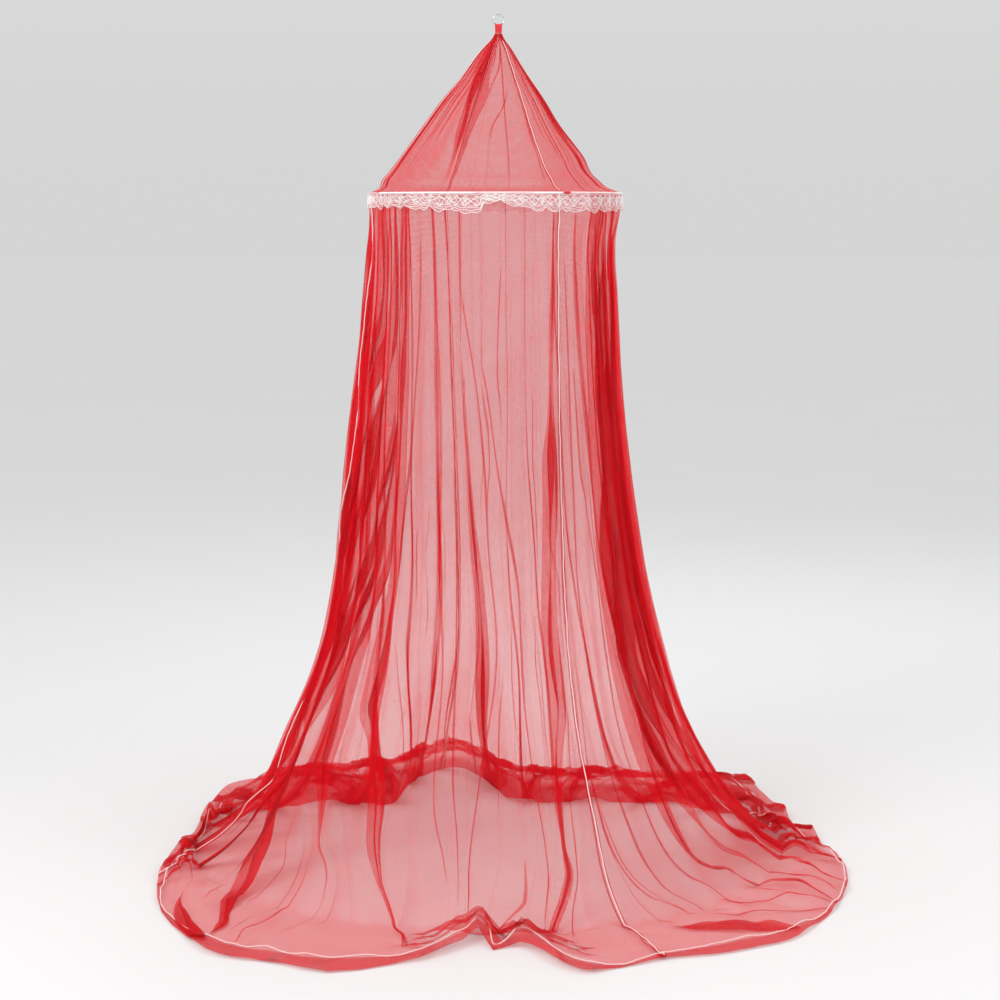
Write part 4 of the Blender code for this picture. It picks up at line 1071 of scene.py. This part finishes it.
class Nodes:
    """The node tree of a material or the world, built in code."""

    def __init__(self, owner):
        self.owner = owner
        owner.use_nodes = True
        self.tree = owner.node_tree
        self.tree.nodes.clear()

    def put(self, socket, value):
        if isinstance(value, bpy.types.NodeSocket):
            self.tree.links.new(value, socket)
        else:
            socket.default_value = value

    def add(self, kind, **settings):
        node = self.tree.nodes.new(kind)
        inputs = settings.pop("inputs", {})
        for name, value in settings.items():
            setattr(node, name, value)
        for name, value in inputs.items():
            self.put(node.inputs[name], value)
        return node

    def math(self, operation, *values, clamp=False):
        node = self.add("ShaderNodeMath", operation=operation, use_clamp=clamp)
        for k, value in enumerate(values):
            self.put(node.inputs[k], value)
        return node.outputs[0]

    def vector(self, operation, *values, named=()):
        inputs = {**dict(enumerate(values)), **dict(named)}
        return self.add("ShaderNodeVectorMath", operation=operation, inputs=inputs).outputs[0]

    def uv(self):
        return self.add("ShaderNodeUVMap", uv_map="UVMap").outputs[0]

    def place(self, kind="Object"):
        return self.add("ShaderNodeTexCoord").outputs[kind]

    def parts(self, vector):
        return self.add("ShaderNodeSeparateXYZ", inputs={0: vector}).outputs

    def noise(self, vector, scale, detail=2.0):
        node = self.add("ShaderNodeTexNoise", inputs={"Vector": vector, "Scale": scale, "Detail": detail})
        return node.outputs["Fac"]

    def tint(self, factor, first, second):
        """A colour between the two."""
        inputs = {"Factor": factor, "A": first, "B": second}
        return self.add("ShaderNodeMix", data_type="RGBA", inputs=inputs).outputs["Result"]

    def mix(self, factor, first, second):
        """A shader between the two."""
        inputs = {0: factor, 1: first.outputs[0], 2: second.outputs[0]}
        return self.add("ShaderNodeMixShader", inputs=inputs)

    def bump(self, height, strength, distance):
        inputs = {"Height": height, "Strength": strength, "Distance": distance}
        return self.add("ShaderNodeBump", inputs=inputs).outputs[0]

    def principled(self, colour, roughness, more=()):
        inputs = {"Base Color": colour, "Roughness": roughness, **dict(more)}
        return self.add("ShaderNodeBsdfPrincipled", inputs=inputs)

    def finish(self, shader, output="ShaderNodeOutputMaterial"):
        self.add(output, inputs={"Surface": shader.outputs[0]})
        return self.owner


def material_nodes(name):
    return Nodes(bpy.data.materials.new(name))


def hexagons(nodes, vector, size):
    """1 at the middle of a hexagonal cell to 0 at its edge, for cells of that size."""
    scaled = nodes.vector("SCALE", vector, named={"Scale": 1 / size})
    half = (0.5, math.sqrt(3) / 2, 0.5)
    cells = []
    for shift in ((0.0, 0.0, 0.0), half):
        moved = nodes.vector("ADD", scaled, shift)
        x, y, _ = nodes.parts(nodes.vector("WRAP", moved, half, [-h for h in half]))
        x, y = nodes.math("ABSOLUTE", x), nodes.math("ABSOLUTE", y)
        slanted = nodes.math("ADD", *(nodes.math("MULTIPLY", way, by) for way, by in zip((x, y), half)))
        cells.append(nodes.math("MAXIMUM", x, slanted))
    edge = nodes.math("MINIMUM", *cells)
    return nodes.math("SUBTRACT", 1.0, nodes.math("MULTIPLY", edge, 2.0))


def net_material(name, colour, cell, thread, close, loose, roughness):
    """Knitted net: threads round six-sided holes, closing up where it is seen edge on. Thread is the
    threads' width as a share of the cell, close how much one hides and loose what lies between."""
    nodes = material_nodes(name)
    uv = nodes.uv()
    threads = nodes.math("LESS_THAN", hexagons(nodes, uv, cell), thread)
    uneven_net = nodes.math("SUBTRACT", nodes.noise(uv, 9.0, 3.0), 0.5)
    cover = nodes.math("MULTIPLY_ADD", threads, close, loose)
    cover = nodes.math("MULTIPLY_ADD", uneven_net, UNEVEN_NET, cover, clamp=True)
    facing = nodes.add("ShaderNodeLayerWeight", inputs={"Blend": 0.5}).outputs["Facing"]
    cosine = nodes.math("MAXIMUM", nodes.math("SUBTRACT", 1.0, facing), EDGE_ON)
    through = nodes.math("SUBTRACT", 1.0, cover, clamp=True)
    through = nodes.math("POWER", through, nodes.math("DIVIDE", 1.0, cosine))
    cover = nodes.math("SUBTRACT", 1.0, through, clamp=True)
    tint = nodes.tint(nodes.noise(uv, 30.0), shaded(colour, 0.88), shaded(colour, 1.06))
    sheen = {"Sheen Weight": 0.35, "Sheen Roughness": 0.4, "Sheen Tint": (1.0, 0.25, 0.25, 1.0)}
    shader = nodes.principled(tint, roughness, {"Specular IOR Level": 0.12, **sheen})
    lit_through = nodes.add("ShaderNodeBsdfTranslucent", inputs={"Color": tint})
    cloth = nodes.mix(LIT_THROUGH, shader, lit_through)
    return nodes.finish(nodes.mix(cover, nodes.add("ShaderNodeBsdfTransparent"), cloth))


def thread_material(name, colour, pitch, roughness, strength):
    """Twisted or oversewn thread: slanted stitches along a cord, with painted shade darkening the grooves
    between them.
    """
    nodes = material_nodes(name)
    u, v, _ = nodes.parts(nodes.uv())
    turn = nodes.math("ADD", nodes.math("MULTIPLY", v, 1 / pitch), u)
    ridge_and_painted_shade = nodes.math("MULTIPLY", nodes.math("PINGPONG", turn, 0.5), 2.0)
    # painted shade: the colour goes darker in the grooves between the stitches, where the bump sinks
    tint = nodes.tint(ridge_and_painted_shade, shaded(colour, 0.72), shaded(colour, 1.05))
    return nodes.finish(nodes.principled(tint, roughness, {"Normal": nodes.bump(ridge_and_painted_shade, strength, 0.0003)}))


def weave_material(name, colour, pitch):
    """Close plain-woven tape, with painted shade darkening the hollows between its crossing threads."""
    nodes = material_nodes(name)
    u, v, _ = nodes.parts(nodes.uv())
    warp, weft = (nodes.math("SINE", nodes.math("MULTIPLY", way, math.tau / pitch)) for way in (u, v))
    weave_and_painted_shade = nodes.math("MULTIPLY_ADD", nodes.math("MULTIPLY", warp, weft), 0.5, 0.5)
    # painted shade: darker where the weave's bump is low, in the hollows between the crossing threads
    tint = nodes.tint(weave_and_painted_shade, shaded(colour, 0.7), shaded(colour))
    more = {"Sheen Weight": 0.3, "Normal": nodes.bump(weave_and_painted_shade, 0.5, 0.0002)}
    return nodes.finish(nodes.principled(tint, 0.55, more))


def worn_material(name, colour, roughness, metallic, mottle):
    """Smooth metal or plastic with faint mottling and fine scratches."""
    nodes = material_nodes(name)
    place = nodes.place()
    spots = nodes.noise(place, 260.0, 4.0)
    tint = nodes.tint(spots, shaded(colour, 1 - mottle), shaded(colour))
    rough = nodes.math("MULTIPLY_ADD", nodes.noise(place, 900.0, 3.0), 0.25, roughness - 0.1)
    more = {"Metallic": metallic, "Normal": nodes.bump(spots, 0.08, 0.0003)}
    return nodes.finish(nodes.principled(tint, rough, more))


def floor_material():
    nodes = material_nodes("studio_floor")
    tint = nodes.tint(nodes.noise(nodes.place(), 1.2, 3.0), *FLOOR_COLOURS)
    return nodes.finish(nodes.principled(tint, 0.85))


# ---------------- studio
FOCAL_LENGTH = 79.1
SENSOR_WIDTH = 36.0
CAMERA_PLACE = (0.0036, -5.3673, 1.6034 - FLOOR_DROP)
CAMERA_PITCH = 7.588  # degrees downwards
FLOOR_SIZE = 60.0
FLOOR_COLOURS = ((0.655, 0.655, 0.66, 1), (0.675, 0.675, 0.675, 1))
HORIZON_COLOUR = (0.662, 0.663, 0.665, 1)
ZENITH_COLOUR = (1.0, 1.0, 1.0, 1)
ZENITH_HEIGHT = 0.5
WORLD_STRENGTH = 1.0
LIGHTS_AIM = (0.0, 0.0, -1.2)
# Name, place, size and power of each soft light
SOFTBOXES = (
    ("key", (-2.6, -3.2, 1.6), 2.4, 120),
    ("fill", (3.2, -2.4, 0.4), 2.6, 40),
    ("back", (1.2, 3.4, 1.8), 2.4, 40),
)


def add_camera():
    camera = bpy.data.cameras.new("camera")
    camera.lens = FOCAL_LENGTH
    camera.sensor_width = SENSOR_WIDTH
    camera.clip_end = 200
    obj = bpy.data.objects.new("camera", camera)
    obj.location = CAMERA_PLACE
    obj.rotation_euler = (math.radians(90 - CAMERA_PITCH), 0, 0)
    bpy.context.scene.collection.objects.link(obj)
    bpy.context.scene.camera = obj


def add_softbox(name, place, size, power):
    light = bpy.data.lights.new(name, "AREA")
    light.shape = "DISK"
    light.size = size
    light.energy = power
    obj = bpy.data.objects.new(name, light)
    obj.location = place
    away = np.array(place) - np.array(LIGHTS_AIM)
    flat = math.hypot(away[0], away[1])
    obj.rotation_euler = (math.atan2(flat, away[2]), 0, math.atan2(away[0], -away[1]))
    bpy.context.scene.collection.objects.link(obj)


def add_floor():
    ways = ((-1, -1), (1, -1), (1, 1), (-1, 1))
    corners = [(FLOOR_SIZE * x, FLOOR_SIZE * y, -FLOOR_DROP) for x, y in ways]
    mesh = mesh_of("floor", corners, [(0, 1, 2, 3)])
    mesh.materials.append(floor_material())
    floor = bpy.data.objects.new("floor", mesh)
    bpy.context.scene.collection.objects.link(floor)


def add_world():
    nodes = Nodes(bpy.data.worlds.new("studio"))
    height = nodes.parts(nodes.place("Generated"))[2]
    ramp = nodes.add("ShaderNodeValToRGB", inputs={0: height})
    horizon, zenith = ramp.color_ramp.elements
    ramp.color_ramp.interpolation = "EASE"
    horizon.color = HORIZON_COLOUR
    zenith.color = ZENITH_COLOUR
    zenith.position = ZENITH_HEIGHT
    inputs = {"Color": ramp.outputs[0], "Strength": WORLD_STRENGTH}
    background = nodes.add("ShaderNodeBackground", inputs=inputs)
    bpy.context.scene.world = nodes.finish(background, "ShaderNodeOutputWorld")


def add_studio():
    add_floor()
    add_world()
    for softbox in SOFTBOXES:
        add_softbox(*softbox)
    scene = bpy.context.scene
    scene.view_settings.view_transform = "Standard"
    scene.cycles.transparent_max_bounces = 64
    scene.cycles.diffuse_bounces = 3
    scene.cycles.max_bounces = 8


# ---------------- the whole
# Fields for what each panel was cut to, though no panel's cut is listed or used here: the skirt's are
# tapered widths, wider at the hem, the top's are gores
Cut = namedtuple("Cut", "width length area")


def main():
    add_camera()
    net = net_material("net_red", (0.80, 0.006, 0.018), 0.0016, 0.24, 0.37, 0.14, 0.8)
    seam_thread = thread_material("seam_thread", (0.97, 0.70, 0.69), 0.0016, 0.6, 0.2)
    lace_net = net_material("lace_net", (0.95, 0.86, 0.87), 0.0026, 0.20, 0.5, 0.02, 0.7)
    lace_thread = thread_material("lace_thread", (0.96, 0.93, 0.93), 0.0012, 0.7, 0.3)
    hoop_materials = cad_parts["hoop"].data.materials
    hoop_materials.clear()
    hoop_materials.append(worn_material("hoop_white", (0.86, 0.85, 0.83), 0.38, 0.0, 0.06))

    hanging_ring(worn_material("ring_steel", (0.62, 0.62, 0.64), 0.28, 1.0, 0.25))
    tape = weave_material("loop_red", (0.72, 0.010, 0.022), 0.0009)
    hanging_loop(tape)
    hoop_knot(tape)
    seams = [seam_cord(panel, seam_thread) for panel in range(4)]
    hems = [hem_cord(panel, seam_thread) for panel in range(4)]
    for panel in range(4):
        skirt_panel(panel, net)
        top_panel(panel, net)
    ground = lace_ground(lace_net)
    lace_motifs(lace_thread)
    add_studio()


main()
